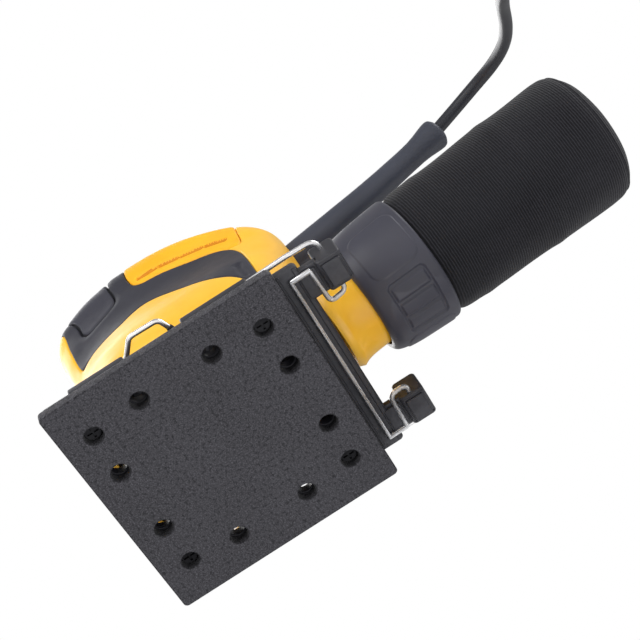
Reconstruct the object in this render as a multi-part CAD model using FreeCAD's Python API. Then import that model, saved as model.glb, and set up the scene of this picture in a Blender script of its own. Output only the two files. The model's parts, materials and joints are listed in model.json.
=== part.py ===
import FreeCAD, Part
import math
import os

# Quarter-sheet palm finishing sander with dust bag, clamp wires and mains lead.
# Frame: origin at the centre of the sanding pad's working face, +Z up,
# front of the tool towards -Y, dust bag and lead towards +Y. Millimetres.

V = FreeCAD.Vector
os.makedirs("parts", exist_ok=True)

# ---------------------------------------------------------------- dimensions
PAD_X = 115.0            # foam pad, across
PAD_Y = 108.0            # foam pad, front to back
PAD_T = 5.5              # foam thickness
HOLE_R = 4.0             # dust and screw holes in the foam
PLATE_T = 4.5            # platen plate thickness
PLATE_TOP = PAD_T + PLATE_T
STRIP_Y = 64.0           # rear edge of the platen's clamp strip
WIRE_R = 1.15            # clamp wire radius
BAR_Y = 58.6             # rear clamp bar
BAR_Z = 7.2
LUG_Y = 76.0             # pivot of the rear clamp wires
LUG_LOW_Z = 9.2
LUG_HIGH_Z = 16.4
FRONT_LUG_Y = -41.0      # pivot of the front clamp wires
FRONT_LOW_Z = 13.4
FRONT_HIGH_Z = 18.4
FRONT_BAR_Y = -50.2
FRONT_BAR_Z = 10.6
ARM_X = 50.0             # lever arms
CRANK = 0.8              # half of the 1.6 mm orbit
MOTOR_Y = -CRANK         # motor axis; the orbit bearing is on the pad's centre
SHELL = 2.6              # housing wall
SHAFT_R = 4.0
BAG_TILT = 7.4           # dust bag and collar axis rises to the rear
BAG_Y0, BAG_Z0 = 80.0, 41.7
BOOT_END = V(0, 157.0, 136.8)
CORD_R = 3.1
COIL_X, COIL_Y = 146.0, 196.5
COIL_R = 31.0            # middle of the two lanes of turns
COIL_TOP = 25.4

# outside of the head, slice by slice:
# z, half width, front, rear, squareness of the front half, of the rear half
HEAD = [
    (22.0, 41.4, -46.0, 57.5, 8.0, 6.0),
    (27.0, 41.4, -46.0, 58.0, 8.0, 6.0),
    (32.0, 41.3, -45.8, 58.8, 7.0, 5.4),
    (38.0, 41.0, -45.0, 60.0, 5.0, 4.4),
    (46.0, 40.8, -44.6, 61.6, 3.9, 3.8),
    (58.0, 39.5, -44.8, 63.0, 3.5, 3.6),
    (66.0, 37.6, -44.8, 63.7, 3.3, 3.8),
    (74.0, 35.3, -44.6, 64.3, 3.2, 4.0),
    (85.0, 32.7, -45.8, 65.8, 3.0, 4.2),
    (94.0, 31.6, -49.0, 65.8, 2.9, 4.2),
    (103.0, 31.7, -52.0, 64.9, 2.9, 4.2),
    (112.0, 31.8, -53.6, 60.8, 2.9, 4.0),
    (121.0, 32.7, -54.6, 52.1, 2.8, 3.2),
    (128.0, 31.4, -50.8, 43.3, 2.6, 2.8),
    (134.0, 27.6, -43.0, 34.2, 2.5, 2.5),
    (138.0, 22.5, -34.2, 24.7, 2.4, 2.4),
    (140.8, 15.8, -24.2, 13.7, 2.2, 2.2),
    (142.0, 8.2, -14.1, 3.6, 2.0, 2.0),
]

made = {}


def out(name, shape):
    if isinstance(shape, (list, tuple)):
        shape = Part.makeCompound(list(shape))
    solids = shape.Solids
    assert solids, name
    if len(solids) == 1:
        shape = solids[0]
    else:
        shape = Part.makeCompound(solids)
    bad = [s for s in solids if not s.isValid()]
    made[name] = shape
    shape.exportStep("parts/%s.step" % name)
    b = shape.BoundBox
    print("%-24s n=%d vol=%9.1f  x %.1f..%.1f y %.1f..%.1f z %.1f..%.1f%s" % (
        name, len(solids), shape.Volume, b.XMin, b.XMax, b.YMin, b.YMax, b.ZMin, b.ZMax,
        "  INVALID" if bad else ""))


def cyl(r, h, p=(0, 0, 0), d=(0, 0, 1)):
    return Part.makeCylinder(r, h, V(*p), V(*d))


def ring(ro, ri, h, p=(0, 0, 0), d=(0, 0, 1)):
    d = V(*d)
    d.normalize()
    q = V(*p) - d * 1.0
    return Part.makeCylinder(ro, h, V(*p), d).cut(Part.makeCylinder(ri, h + 2, q, d))


def box(x0, y0, z0, x1, y1, z1):
    return Part.makeBox(x1 - x0, y1 - y0, z1 - z0, V(x0, y0, z0))


def rbox(x0, y0, z0, x1, y1, z1, r, axis="z"):
    b = box(x0, y0, z0, x1, y1, z1)
    k = {"x": 0, "y": 1, "z": 2}[axis]
    es = []
    for e in b.Edges:
        a, c = e.Vertexes[0].Point, e.Vertexes[1].Point
        d = [abs(a.x - c.x), abs(a.y - c.y), abs(a.z - c.z)]
        if d[k] > 1e-6:
            es.append(e)
    return b.makeFillet(r, es)


def prism_yz(pts, x0, x1):
    """Polygon in the YZ plane, extruded along X."""
    w = Part.makePolygon([V(x0, y, z) for y, z in pts] + [V(x0, pts[0][0], pts[0][1])])
    return Part.Face(w).extrude(V(x1 - x0, 0, 0))


def slice_wire(z, a, yf, yr, nf, nr, n=56):
    yc, L = (yf + yr) / 2.0, (yr - yf) / 2.0
    pts = []
    for i in range(n):
        t = 2 * math.pi * i / n
        c, s = math.cos(t), math.sin(t)
        e = nr if s > 0 else nf
        x = a * math.copysign(abs(c) ** (2.0 / e), c)
        y = yc + L * math.copysign(abs(s) ** (2.0 / e), s)
        pts.append(V(x, y, z))
    c = Part.BSplineCurve()
    c.interpolate(Points=pts, PeriodicFlag=True)
    return Part.Wire([c.toShape()])


def head_solid(off=0.0, top_drop=0.0, z0=None):
    ws = []
    for (z, a, yf, yr, nf, nr) in HEAD:
        zz = z
        if off:
            if z > 138.5:
                continue
            k = off * (1.0 + 0.25 * max(0.0, (z - 112.0) / 26.0))
            a, yf, yr = a - k, yf + k, yr - k
            if z > 112:
                zz = z - top_drop * (z - 112.0) / 26.0
        if z0 is not None and z == HEAD[0][0]:
            zz = z0
        ws.append(slice_wire(zz, a, yf, yr, nf, nr))
    return Part.makeLoft(ws, True, False)


def wire_route(pts, radii=None, closed=False):
    """Straight runs joined by tangent arcs. Returns edges, and the radii used."""
    P = [V(*p) for p in pts]
    n = len(P)
    ins, outs, mids, rr = [None] * n, [None] * n, [None] * n, []
    for i in range(1, n - 1):
        a, b = P[i - 1] - P[i], P[i + 1] - P[i]
        la, lb = a.Length, b.Length
        a.normalize()
        b.normalize()
        turn = math.pi - a.getAngle(b)
        if radii is None:
            r = 0.45 * min(la, lb) / math.tan(turn / 2)
        else:
            r = radii if not isinstance(radii, (list, tuple)) else radii[i - 1]
        t = r * math.tan(turn / 2)
        ins[i], outs[i] = P[i] + a * t, P[i] + b * t
        m = a + b
        m.normalize()
        dist = r / math.cos(turn / 2)
        mids[i] = P[i] + m * (dist - r)
        rr.append(r)
    edges = []
    cur = P[0]
    for i in range(1, n - 1):
        if (ins[i] - cur).Length > 1e-6:
            edges.append(Part.LineSegment(cur, ins[i]).toShape())
        edges.append(Part.Arc(ins[i], mids[i], outs[i]).toShape())
        cur = outs[i]
    if (P[-1] - cur).Length > 1e-6:
        edges.append(Part.LineSegment(cur, P[-1]).toShape())
    return edges, rr


def tube(pts, r, radii=None, name=""):
    edges, rr = wire_route(pts, radii)
    path = Part.Wire(edges)
    d = path.Edges[0].tangentAt(path.Edges[0].FirstParameter)
    start = V(*pts[0])
    if (path.Edges[0].valueAt(path.Edges[0].FirstParameter) - start).Length > 1e-4:
        d = V(*pts[1]) - start
    prof = Part.Wire([Part.makeCircle(r, start, d)])
    s = path.makePipeShell([prof], True, False)
    if not s.isValid() or abs(s.Volume / (math.pi * r * r * path.Length) - 1) > 0.02:
        print("   note: pipe of", name, s.isValid(), s.Volume, math.pi * r * r * path.Length)
    return s, path.Length, rr


# ---------------------------------------------------------------- pad and platen
# foam pad with eight dust holes and four screw holes
dust_holes = [(sx * 40.5, sy * 17.0) for sx in (-1, 1) for sy in (-1, 1)]
dust_holes += [(sx * 17.0, sy * 40.5) for sx in (-1, 1) for sy in (-1, 1)]
screw_holes = [(sx * 38.0, sy * 40.0) for sx in (-1, 1) for sy in (-1, 1)]
pad = rbox(-PAD_X / 2, -PAD_Y / 2, 0, PAD_X / 2, PAD_Y / 2, PAD_T, 2.0)
for (x, y) in dust_holes + screw_holes:
    pad = pad.cut(cyl(HOLE_R, PAD_T + 2, (x, y, -1)))
out("foam_pad", pad)


# platen plate: carries the foam, the hub of the orbit bearing and the clamp strip
HUB_R, HUB_TOP = 17.0, 21.0
STRIP_Z = 8.6            # underside of the raised clamp strip
STRIP_TOP = 12.4
plate = rbox(-55.0, -53.0, PAD_T, 55.0, 53.5, PLATE_TOP, 2.0)
plate = plate.fuse(rbox(-50.0, 50.0, STRIP_Z, 50.0, STRIP_Y, STRIP_TOP, 2.0))
plate = plate.fuse(cyl(HUB_R, HUB_TOP - PLATE_TOP + 1, (0, 0, PLATE_TOP - 1)))
for (x, y) in screw_holes:
    plate = plate.fuse(cyl(3.9, 3.6, (x, y, PLATE_TOP - 1)))
# side flanges that stiffen the plate's edges
for s in (-1, 1):
    x0, x1 = (52.4, 55.0) if s > 0 else (-55.0, -52.4)
    plate = plate.fuse(box(x0, 13.0, PLATE_TOP - 1, x1, 44.0, 13.2))
    plate = plate.fuse(box(x0, -40.0, PLATE_TOP - 1, x1, -14.0, 13.2))
# arms that reach back to the rear lugs, each lug carries both wires
for s in (-1, 1):
    xa, xb = sorted((s * 31.2, s * 46.2))
    plate = plate.fuse(box(xa, STRIP_Y - 4, 9.2, xb, 72.0, STRIP_TOP))
    lug = rbox(xa, 70.6, 6.6, xb, 82.0, 20.4, 1.6, "x")
    plate = plate.fuse(lug)
    # raised square panel under each lug
    xp, xq = sorted((s * 33.2, s * 44.4))
    plate = plate.fuse(box(xp, 72.2, 5.4, xq, 80.6, 7.2))
# front lugs stand on top of the plate
for s in (-1, 1):
    xa, xb = sorted((s * 36.0, s * 44.0))
    plate = plate.fuse(rbox(xa, -45.2, PLATE_TOP - 1, xb, -36.8, 21.6, 1.4, "x"))
plate = plate.cut(cyl(14.0, 12.0, (0, 0, 12.0)))          # bearing seat
# dust channels: from each pad hole inward along the plate's underside, then up
for (x, y) in dust_holes:
    ang = math.degrees(math.atan2(y, x))
    rh = math.hypot(x, y)
    ch = box(26.0, -2.6, PAD_T - 1, rh, 2.6, PAD_T + 2.2).fuse(cyl(HOLE_R, 3.2, (rh, 0, PAD_T - 1))).fuse(cyl(3.4, 9.0, (26.0, 0, PAD_T - 1)))
    plate = plate.cut(ch.rotate(V(0, 0, 0), V(0, 0, 1), ang))
for (x, y) in screw_holes:
    plate = plate.cut(cyl(2.1, 7.6, (x, y, PAD_T - 1)))
# shallow seat for the front clamp bar, open above
plate = plate.cut(cyl(1.45, 64, (-32, FRONT_BAR_Y, FRONT_BAR_Z), (1, 0, 0)))
for s in (-1, 1):
    p0 = V(s * 29.6, FRONT_BAR_Y, FRONT_BAR_Z)
    rise = V(s * 30.4, FRONT_LUG_Y, FRONT_LOW_Z) - p0
    plate = plate.cut(Part.makeCylinder(1.5, rise.Length, p0, rise))
# wire holes through the lugs
for (y, z) in ((LUG_Y, LUG_LOW_Z), (LUG_Y, LUG_HIGH_Z), (FRONT_LUG_Y, FRONT_LOW_Z), (FRONT_LUG_Y, FRONT_HIGH_Z)):
    plate = plate.cut(cyl(WIRE_R + 0.06, 140, (-70, y, z), (1, 0, 0)))
out("platen", plate.removeSplitter())

# screws through the corner holes, heads up inside the foam
scr = []
for (x, y) in screw_holes:
    s = cyl(3.4, 2.2, (x, y, PAD_T - 2.2))
    s = s.cut(box(x - 2.6, y - 0.5, PAD_T - 3, x + 2.6, y + 0.5, PAD_T - 1.2))
    s = s.cut(box(x - 0.5, y - 2.6, PAD_T - 3, x + 0.5, y + 2.6, PAD_T - 1.2))
    s = s.fuse(cyl(2.0, 7.4, (x, y, PAD_T - 1)))
    scr.append(s)
out("pad_screws", scr)

# lever catches: hooked posts just inside the lever arms, one pair per side
cat = []
for s in (-1, 1):
    for (y0, y1) in ((24.0, 34.0), (-31.0, -21.0)):
        xa, xb = sorted((s * 45.6, s * 48.0))
        c = box(xa, y0, PLATE_TOP, xb, y1, 20.4)
        xa, xb = sorted((s * 48.0, s * 48.6))
        c = c.fuse(box(xa, y0, 18.0, xb, y1, 20.4))
        cat.append(c)
out("lever_catches", cat)

# orbit bearing pressed in the hub
BRG_Z0 = 12.0
out("orbit_bearing", ring(14.0, 6.0, 8.0, (0, 0, BRG_Z0)))

# ---------------------------------------------------------------- clamp wires
# rear bar: straight across, hairpin at each end, then inboard and up into the lug


def mirror_x(s):
    return s.mirror(V(0, 0, 0), V(1, 0, 0))


def swept(pts, r, rad, name):
    s, L, rr = tube(pts, r, rad, name)
    return s


def bar_shape(pts, rad, name):
    h = swept(pts, WIRE_R, rad, name)
    return h.fuse(mirror_x(h)).removeSplitter()


rear_bar = bar_shape(
    [(46.8, LUG_Y, LUG_LOW_Z), (27.6, LUG_Y, LUG_LOW_Z), (27.0, 68.2, 7.9),
     (47.0, 67.8, 7.4), (51.4, 61.6, 7.2), (43.6, BAR_Y, BAR_Z), (0, BAR_Y, BAR_Z)],
    [2.6, 2.6, 3.4, 2.4, 3.2], "rear_bar")
out("rear_clamp_bar", rear_bar)

# rear lever: from the outer face of each lug forward along the side of the platen
rl = swept([(32.0, LUG_Y, LUG_HIGH_Z), (50.6, LUG_Y, LUG_HIGH_Z), (51.0, 62.0, LUG_HIGH_Z + 0.1),
            (ARM_X, 22.0, LUG_HIGH_Z)], WIRE_R, [4.2, 60.0], "rear_lever")
out("rear_lever", [rl, mirror_x(rl)])

# front bar and front lever
fb = swept([(42.6, FRONT_LUG_Y, FRONT_LOW_Z), (30.4, FRONT_LUG_Y, FRONT_LOW_Z),
            (29.6, FRONT_BAR_Y, FRONT_BAR_Z), (0, FRONT_BAR_Y, FRONT_BAR_Z)],
           WIRE_R, [2.6, 2.6], "front_bar")
out("front_clamp_bar", fb.fuse(mirror_x(fb)).removeSplitter())

fl = swept([(36.8, FRONT_LUG_Y, FRONT_HIGH_Z), (50.0, FRONT_LUG_Y, FRONT_HIGH_Z), (ARM_X, -14.0, 17.0),
            (58.4, -7.6, 16.4), (58.0, 5.6, 16.6), (51.0, 8.6, 15.6)],
           WIRE_R, [4.0, 4.0, 3.2, 3.0], "front_lever")
out("front_lever", [fl, mirror_x(fl)])

# ---------------------------------------------------------------- head shells
outer = head_solid()
inner = head_solid(off=SHELL, top_drop=SHELL, z0=20.0)
inner = inner.fuse(head_solid(off=SHELL).common(box(-80, -80, 19, 80, 90, 30)))
shell = outer.cut(inner)
print("shell", shell.isValid(), shell.Volume, len(shell.Solids))

ARCH = [(-5.2, 160.0), (-5.4, 126.0), (-5.0, 116.0), (-3.1, 110.0), (1.0, 107.0), (6.0, 106.2),
        (11.0, 105.0), (17.0, 102.7), (25.0, 99.3), (35.0, 95.6), (40.0, 92.4), (44.2, 87.4),
        (46.7, 80.0), (47.9, 70.0), (48.5, 60.0), (48.9, 50.0), (49.3, 40.0), (49.5, 15.0),
        (95.0, 15.0), (95.0, 160.0)]
LOW = [(-95.0, 15.0), (-95.0, 122.5), (-45.5, 122.5), (-44.6, 106.4), (-43.6, 92.0), (-42.0, 88.4),
       (-35.0, 83.0), (-26.0, 79.8), (-16.0, 81.2), (-10.0, 84.4), (-3.0, 86.4), (4.0, 84.6),
       (12.0, 78.6), (22.0, 68.6), (30.0, 60.0), (39.0, 50.4), (43.5, 42.0), (45.0, 34.0), (45.4, 15.0)]
ROCK = [(-15.5, 160.0), (-14.8, 122.0), (-13.8, 111.6), (-14.4, 107.2), (-17.0, 104.2), (-24.2, 101.2),
        (-32.6, 100.6), (-35.8, 104.6), (-36.9, 113.0), (-39.5, 120.0), (-45.5, 126.5), (-95.0, 130.0),
        (-95.0, 160.0)]
p_arch = prism_yz(ARCH, -60, 60)
p_low = prism_yz(LOW, -60, 60)
p_rock = prism_yz(ROCK, -60, 60)

# dust outlet passes through the rear wall on the tilted bag axis
ax = V(0, math.cos(math.radians(BAG_TILT)), math.sin(math.radians(BAG_TILT)))


def on_axis(y):
    return V(0, y, BAG_Z0 + math.tan(math.radians(BAG_TILT)) * (y - BAG_Y0))


duct_cut = Part.makeCylinder(22.1, 60, on_axis(40.0), ax)
boot_cut = Part.makeCylinder(7.7, 30, V(0, 54.0, 102.4), V(0, 0.95, 0.3123))

top_shell = shell.common(p_arch).cut(duct_cut).cut(boot_cut)
housing = shell.common(p_low)
dark = shell.cut(p_arch).cut(p_low).cut(p_rock).cut(duct_cut)
rocker = shell.common(p_rock)



def biggest(s):
    return max(s.Solids, key=lambda q: q.Volume)


half_r = box(0, -90, 0, 90, 100, 170)
half_l = box(-90, -90, 0, 0, 100, 170)
out("housing_right", biggest(housing.common(half_r)))
out("housing_left", biggest(housing.common(half_l)))
out("rear_shell", biggest(top_shell.cut(prism_yz([(-30, 160), (-30, 90), (49.6, 90), (50.2, 112), (50.8, 160)], -60, 60))))
palm = top_shell.common(prism_yz([(-30, 160), (-30, 90), (49.6, 90), (50.2, 112), (50.8, 160)], -60, 60))
# long shallow lozenge grooves, three rows each side
cuts = []
for (y0, z0, y1, z1) in ((0.5, 112.0, 9.0, 111.6), (12.0, 111.0, 20.0, 108.6), (23.0, 107.6, 32.0, 104.6), (35.0, 103.4, 43.0, 100.4)):
    cuts.append(prism_yz([(y0, z0 - 1.1), (y1, z1 - 1.1), (y1 + 1.5, z1), (y1, z1 + 1.1), (y0, z0 + 1.1), (y0 - 1.5, z0)], -60, 60))
inner_skin = head_solid(off=0.7)
for c in cuts:
    palm = palm.cut(c.cut(inner_skin))
out("palm_pad", biggest(palm))
out("grip_surround", biggest(dark))

# switch rocker: the same surface with a clear gap round it and its own inner lip
rk = rocker.cut(p_arch)
ROCK_IN = [(-16.5, 160.0), (-15.8, 122.0), (-14.9, 112.0), (-15.5, 108.2), (-17.9, 105.6), (-24.2, 102.3),
           (-32.0, 101.7), (-34.9, 105.2), (-35.9, 113.4), (-38.7, 120.8), (-45.2, 127.6), (-95.0, 131.1),
           (-95.0, 160.0)]
rk = rk.common(prism_yz(ROCK_IN, -60, 60))
# rubber-covered cap stands a little inside the surround; its pivot ears hang below its rear end
RK_Y, RK_Z = -19.5, 118.0
ears = box(-22.0, RK_Y - 3.5, RK_Z - 4.0, -19.0, RK_Y + 3.0, 136.4).fuse(box(19.0, RK_Y - 3.5, RK_Z - 4.0, 22.0, RK_Y + 3.0, 136.4))
ears = ears.cut(cyl(1.56, 80, (-40, RK_Y, RK_Z), (1, 0, 0)))
ears = ears.common(head_solid(off=0.8))
rk_solid = rk.fuse(ears)
out("switch_rocker", rk_solid)
pin = cyl(1.5, 57.0, (-28.5, RK_Y, RK_Z), (1, 0, 0))
out("rocker_pin", pin)

# dust outlet: a short tube that crosses the rear wall
duct = Part.makeCylinder(22.0, 50.0, on_axis(46.0), ax).cut(Part.makeCylinder(19.4, 60.0, on_axis(43.0), ax))
out("dust_outlet", duct)
orng = Part.makeCylinder(23.0, 3.0, on_axis(81.5), ax).cut(Part.makeCylinder(22.0, 9.0, on_axis(78.5), ax))
out("outlet_seal", orng)

# ---------------------------------------------------------------- bag collar and bag
def rev_axis(profile, y_ref):
    """Revolve (distance along the axis from y_ref, radius) points about the bag axis."""
    o = on_axis(y_ref)
    up = V(0, -math.sin(math.radians(BAG_TILT)), math.cos(math.radians(BAG_TILT)))
    pts = [o + ax * s + up * r for s, r in profile]
    w = Part.makePolygon(pts + [pts[0]])
    return Part.Face(w).revolve(o, ax, 360)


collar = rev_axis([(0, 23.2), (0, 25.0), (1.2, 26.6), (5.0, 28.2), (12.0, 29.2), (31.0, 30.4), (32.6, 29.8),
                   (32.6, 27.0), (8.0, 25.6), (8.0, 23.2)], 79.0)
# ribbed grip panels above and below
for c in (-90.0, 90.0):
    for k in (-24.0, -8.0, 8.0, 24.0):
        a = math.radians(c + k)
        up = V(0, -math.sin(math.radians(BAG_TILT)), math.cos(math.radians(BAG_TILT)))
        rad = V(1, 0, 0) * math.cos(a) + up * math.sin(a)
        g = Part.makeCylinder(1.1, 18.0, on_axis(79.0) + ax * 9.0 + rad * 30.1, ax)
        collar = collar.cut(g)
out("bag_collar", collar)

bag_prof = [(0, 24.2), (0, 25.4), (23.6, 26.4), (26.6, 29.3), (60, 31.2), (100.0, 32.4), (113.0, 32.4), (119.0, 30.4),
            (123.0, 26.0), (124.6, 20.0), (124.6, 0.0), (123.0, 0.0), (123.0, 19.6), (121.6, 25.0), (117.9, 29.0),
            (112.6, 31.0), (100.0, 31.0), (60, 29.8), (27.4, 28.0), (24.2, 24.6)]
out("dust_bag", rev_axis(bag_prof, 88.0))
# sprung wire hoops that keep the bag open
out("bag_frame", [rev_axis([(s - 0.9, r), (s, r + 0.9), (s + 0.9, r), (s, r - 0.9)], 88.0) for s, r in ((40.0, 27.5), (78.0, 29.2), (113.0, 29.2))])

# ---------------------------------------------------------------- motor
out("armature_shaft", cyl(SHAFT_R, 84.0, (0, MOTOR_Y, 27.0)))
core = ring(15.5, SHAFT_R, 28.0, (0, MOTOR_Y, 54.0))
for k in range(8):
    a = math.radians(45 * k + 22.5)
    core = core.cut(box(-1.0, 12.5, 53, 1.0, 17, 84).rotate(V(0, 0, 0), V(0, 0, 1), math.degrees(a)).translate(V(0, MOTOR_Y, 0)))
out("armature_core", core)
out("armature_windings", [ring(13.6, SHAFT_R, 5.0, (0, MOTOR_Y, 49.0)), ring(13.6, SHAFT_R, 5.0, (0, MOTOR_Y, 82.0))])
com = ring(11.0, SHAFT_R, 12.0, (0, MOTOR_Y, 88.5))
for k in range(12):
    com = com.cut(box(-0.3, 9.8, 88, 0.3, 12, 99).rotate(V(0, 0, 0), V(0, 0, 1), 30.0 * k).translate(V(0, MOTOR_Y, 0)))
out("commutator", com)
fan = ring(31.0, SHAFT_R, 1.8, (0, MOTOR_Y, 37.0)).fuse(ring(9.0, SHAFT_R, 6.0, (0, MOTOR_Y, 32.8)))
for k in range(12):
    b = box(11.0, -0.8, 30.4, 30.4, 0.8, 37.4).rotate(V(0, 0, 0), V(0, 0, 1), 30.0 * k).translate(V(0, MOTOR_Y, 0))
    fan = fan.fuse(b)
out("fan", fan)
# counterweight with the crank pin: the pin turns about the motor axis, offset by half the orbit
cw = cyl(9.0, 8.0, (0, MOTOR_Y, 22.2))
seg = ring(24.0, 6.0, 5.5, (0, MOTOR_Y, 24.0)).common(box(-30, -40, 20, 30, MOTOR_Y - 2.0, 32))
cw = cw.fuse(seg).fuse(cyl(5.95, 10.6, (0, 0, 12.2)))
cw = cw.cut(cyl(SHAFT_R, 20, (0, MOTOR_Y, 27.0)))
out("crank_counterweight", cw)
out("lower_bearing", ring(13.0, SHAFT_R + 0.05, 7.0, (0, MOTOR_Y, 40.2)))
out("upper_bearing", ring(11.0, SHAFT_R + 0.05, 6.0, (0, MOTOR_Y, 103.0)))
# stator stack with two pole coils
st = ring(27.0, 24.0, 26.0, (0, MOTOR_Y, 55.0))
pole = ring(24.0, 16.3, 26.0, (0, MOTOR_Y, 55.0)).common(box(-9.0, -40, 50, 9.0, 40, 90))
pole2 = ring(17.9, 16.3, 26.0, (0, MOTOR_Y, 55.0)).common(box(-13.0, -40, 50, 13.0, 40, 90))
st = st.fuse(pole).fuse(pole2.common(box(-30, -40, 50, 30, 40, 90).cut(box(-30, -9, 49, 30, 7.4, 91))))
out("stator_core", st.removeSplitter())
coils = []
for s in (-1, 1):
    c = ring(23.6, 18.3, 34.0, (0, MOTOR_Y, 51.0)).common(box(9.4, -20 , 50, 19.5, 20, 90).mirror(V(0, 0, 0), V(1, 0, 0)) if s < 0 else box(9.4, -20, 50, 19.5, 20, 90))
    coils += c.Solids
out("field_coils", coils)
# brackets
lb = cyl(27.0, 5.0, (0, MOTOR_Y, 42.6))
for a in (45, 135, 225, 315):
    lb = lb.fuse(box(0, -5.0, 42.6, 33.0, 5.0, 47.6).rotate(V(0, 0, 0), V(0, 0, 1), a).translate(V(0, MOTOR_Y, 0)))
lb = lb.fuse(cyl(16.0, 9.0, (0, MOTOR_Y, 40.0))).cut(cyl(13.0, 7.4, (0, MOTOR_Y, 39.8))).cut(cyl(8.0, 20.0, (0, MOTOR_Y, 38)))
out("lower_bearing_bracket", lb)
ub = cyl(13.5, 9.0, (0, MOTOR_Y, 102.0)).fuse(box(-26.0, MOTOR_Y - 6.0, 103.0, 26.0, MOTOR_Y + 6.0, 107.0))
ub = ub.cut(cyl(11.0, 7.1, (0, MOTOR_Y, 101.9))).cut(cyl(8.0, 20.0, (0, MOTOR_Y, 98)))
ub = ub.fuse(ring(13.5, 5.5, 2.0, (0, MOTOR_Y, 109.2)))
out("upper_bearing_bracket", ub)
# brush gear along Y
holders, brushes, springs = [], [], []
for s in (-1, 1):
    y0, y1 = sorted((MOTOR_Y + s * 13.0, MOTOR_Y + s * 27.0))
    holders.append(box(-5.0, y0, 89.6, 5.0, y1, 97.4).cut(box(-3.3, y0 - 1, 90.9, 3.3, y1 + 1, 96.1)))
    y0, y1 = sorted((MOTOR_Y + s * 11.15, MOTOR_Y + s * 20.0))
    brushes.append(box(-3.1, y0, 91.1, 3.1, y1, 95.9))
    y0, y1 = sorted((MOTOR_Y + s * 20.1, MOTOR_Y + s * 26.6))
    springs.append(ring(2.1, 1.3, y1 - y0, (0, y0, 93.5), (0, 1, 0)))
out("brush_holders", holders)
out("carbon_brushes", brushes)
out("brush_springs", springs)

# switch module below the rocker, lead clamp and suppressor at the rear
sw = rbox(-8.0, -39.0, 99.5, 8.0, -21.5, 112.0, 1.2).fuse(box(-2.5, -33.0, 112.0, 2.5, -28.5, 115.4))
out("switch_module", sw)
sup = rbox(-9.0, 34.0, 60.0, 9.0, 43.0, 84.0, 1.5)
out("suppressor", sup)
cl = box(-9.0, 44.5, 96.0, 9.0, 51.0, 99.6)
for x in (-6.4, 6.4):
    cl = cl.cut(cyl(1.5, 6.0, (x, 47.8, 95.0)))
out("lead_clamp", cl)
out("clamp_screws", [cyl(2.9, 1.8, (x, 47.8, 99.6)).fuse(cyl(1.4, 8.0, (x, 47.8, 92.0))) for x in (-6.4, 6.4)])

# fan chamber floor and skirt seal above the platen
skirt = ring(37.0, 34.0, 9.0, (0, MOTOR_Y, 22.6)).fuse(ring(37.0, 27.5, 1.6, (0, MOTOR_Y, 22.6)))
out("fan_chamber_ring", skirt)
out("skirt_seal", ring(37.0, 32.5, 12.2, (0, MOTOR_Y, 10.4)))

# four flexible legs between the housing's skirt and the platen
leg_at = [(sx * 28.6, y) for sx in (-1, 1) for y in (-33.5, 37.5)]
legs, feet = [], []
for (x, y) in leg_at:
    legs.append(cyl(4.6, 18.0, (x, y, 13.4)).cut(cyl(2.3, 3.0, (x, y, 12.4))))
    feet.append(ring(4.8, 1.8, 3.0, (x, y, PLATE_TOP)))
# sole plate across the bottom of the housing: the legs stand in it
g = SHELL + 0.3
sole_pts = []
for i in range(48):
    t = 2 * math.pi * i / 48
    c, s = math.cos(t), math.sin(t)
    e = 6.0 if s > 0 else 8.0
    sole_pts.append(V((41.4 - g) * math.copysign(abs(c) ** (2.0 / e), c), 5.75 + (51.75 - g) * math.copysign(abs(s) ** (2.0 / e), s), 24.0))
sole = Part.Face(Part.makePolygon(sole_pts + [sole_pts[0]])).extrude(V(0, 0, 3.4))
sole = sole.common(box(-38.4, -43.0, 24.0, 38.4, 44.6, 27.4))
sole = sole.cut(cyl(37.0, 8, (0, MOTOR_Y, 22)))
for (x, y) in leg_at:
    sole = sole.cut(cyl(4.6, 8, (x, y, 22)))
out("sole_plate", sole)
out("support_legs", legs)
out("leg_feet", feet)

# housing screws, driven from the left, ends buried in the right half
hs = []
for (y, z) in ((-38.0, 60.0), (-38.0, 38.0), (36.0, 37.0), (40.0, 48.0)):
    hs.append(cyl(1.6, 30.0, (-15.0, y, z), (1, 0, 0)).fuse(cyl(3.2, 2.4, (-17.4, y, z), (1, 0, 0))))
out("housing_screws", hs)

# ---------------------------------------------------------------- lead
boot_pts = [(0, 52.0, 101.4), (0, 70.0, 107.3), (0, 92.0, 113.6), (0, 124.0, 124.0), (0, 147.0, 132.9), (BOOT_END.x, BOOT_END.y, BOOT_END.z)]
boot_r = [7.5, 7.5, 7.0, 6.2, 6.5, 7.8]
ws = []
for i, (p, r) in enumerate(zip(boot_pts, boot_r)):
    a = V(*boot_pts[max(0, i - 1)])
    b = V(*boot_pts[min(len(boot_pts) - 1, i + 1)])
    ws.append(Part.Wire([Part.makeCircle(r, V(*p), b - a)]))
boot = Part.makeLoft(ws, True, False)
bdir = V(*boot_pts[-1]) - V(*boot_pts[-2])
bdir.normalize()
boot = boot.cut(Part.makeCylinder(CORD_R, 12.0, BOOT_END - bdir * 8.0, bdir))
out("cord_sleeve", boot)

E = BOOT_END - bdir * 8.0
cord_route = [(E.x, E.y, E.z), (3.0, 169.0, 140.4), (8.5, 183.0, 139.6), (17.0, 195.4, 132.0), (29.0, 202.4, 119.6),
              (43.0, 204.0, 106.4), (57.0, 202.6, 92.4), (70.0, 200.8, 75.6), (81.0, 201.6, 56.4), (90.0, 205.2, 36.4),
              (99.6, 210.6, 16.4), (114.0, 218.6, 4.2)]
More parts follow.
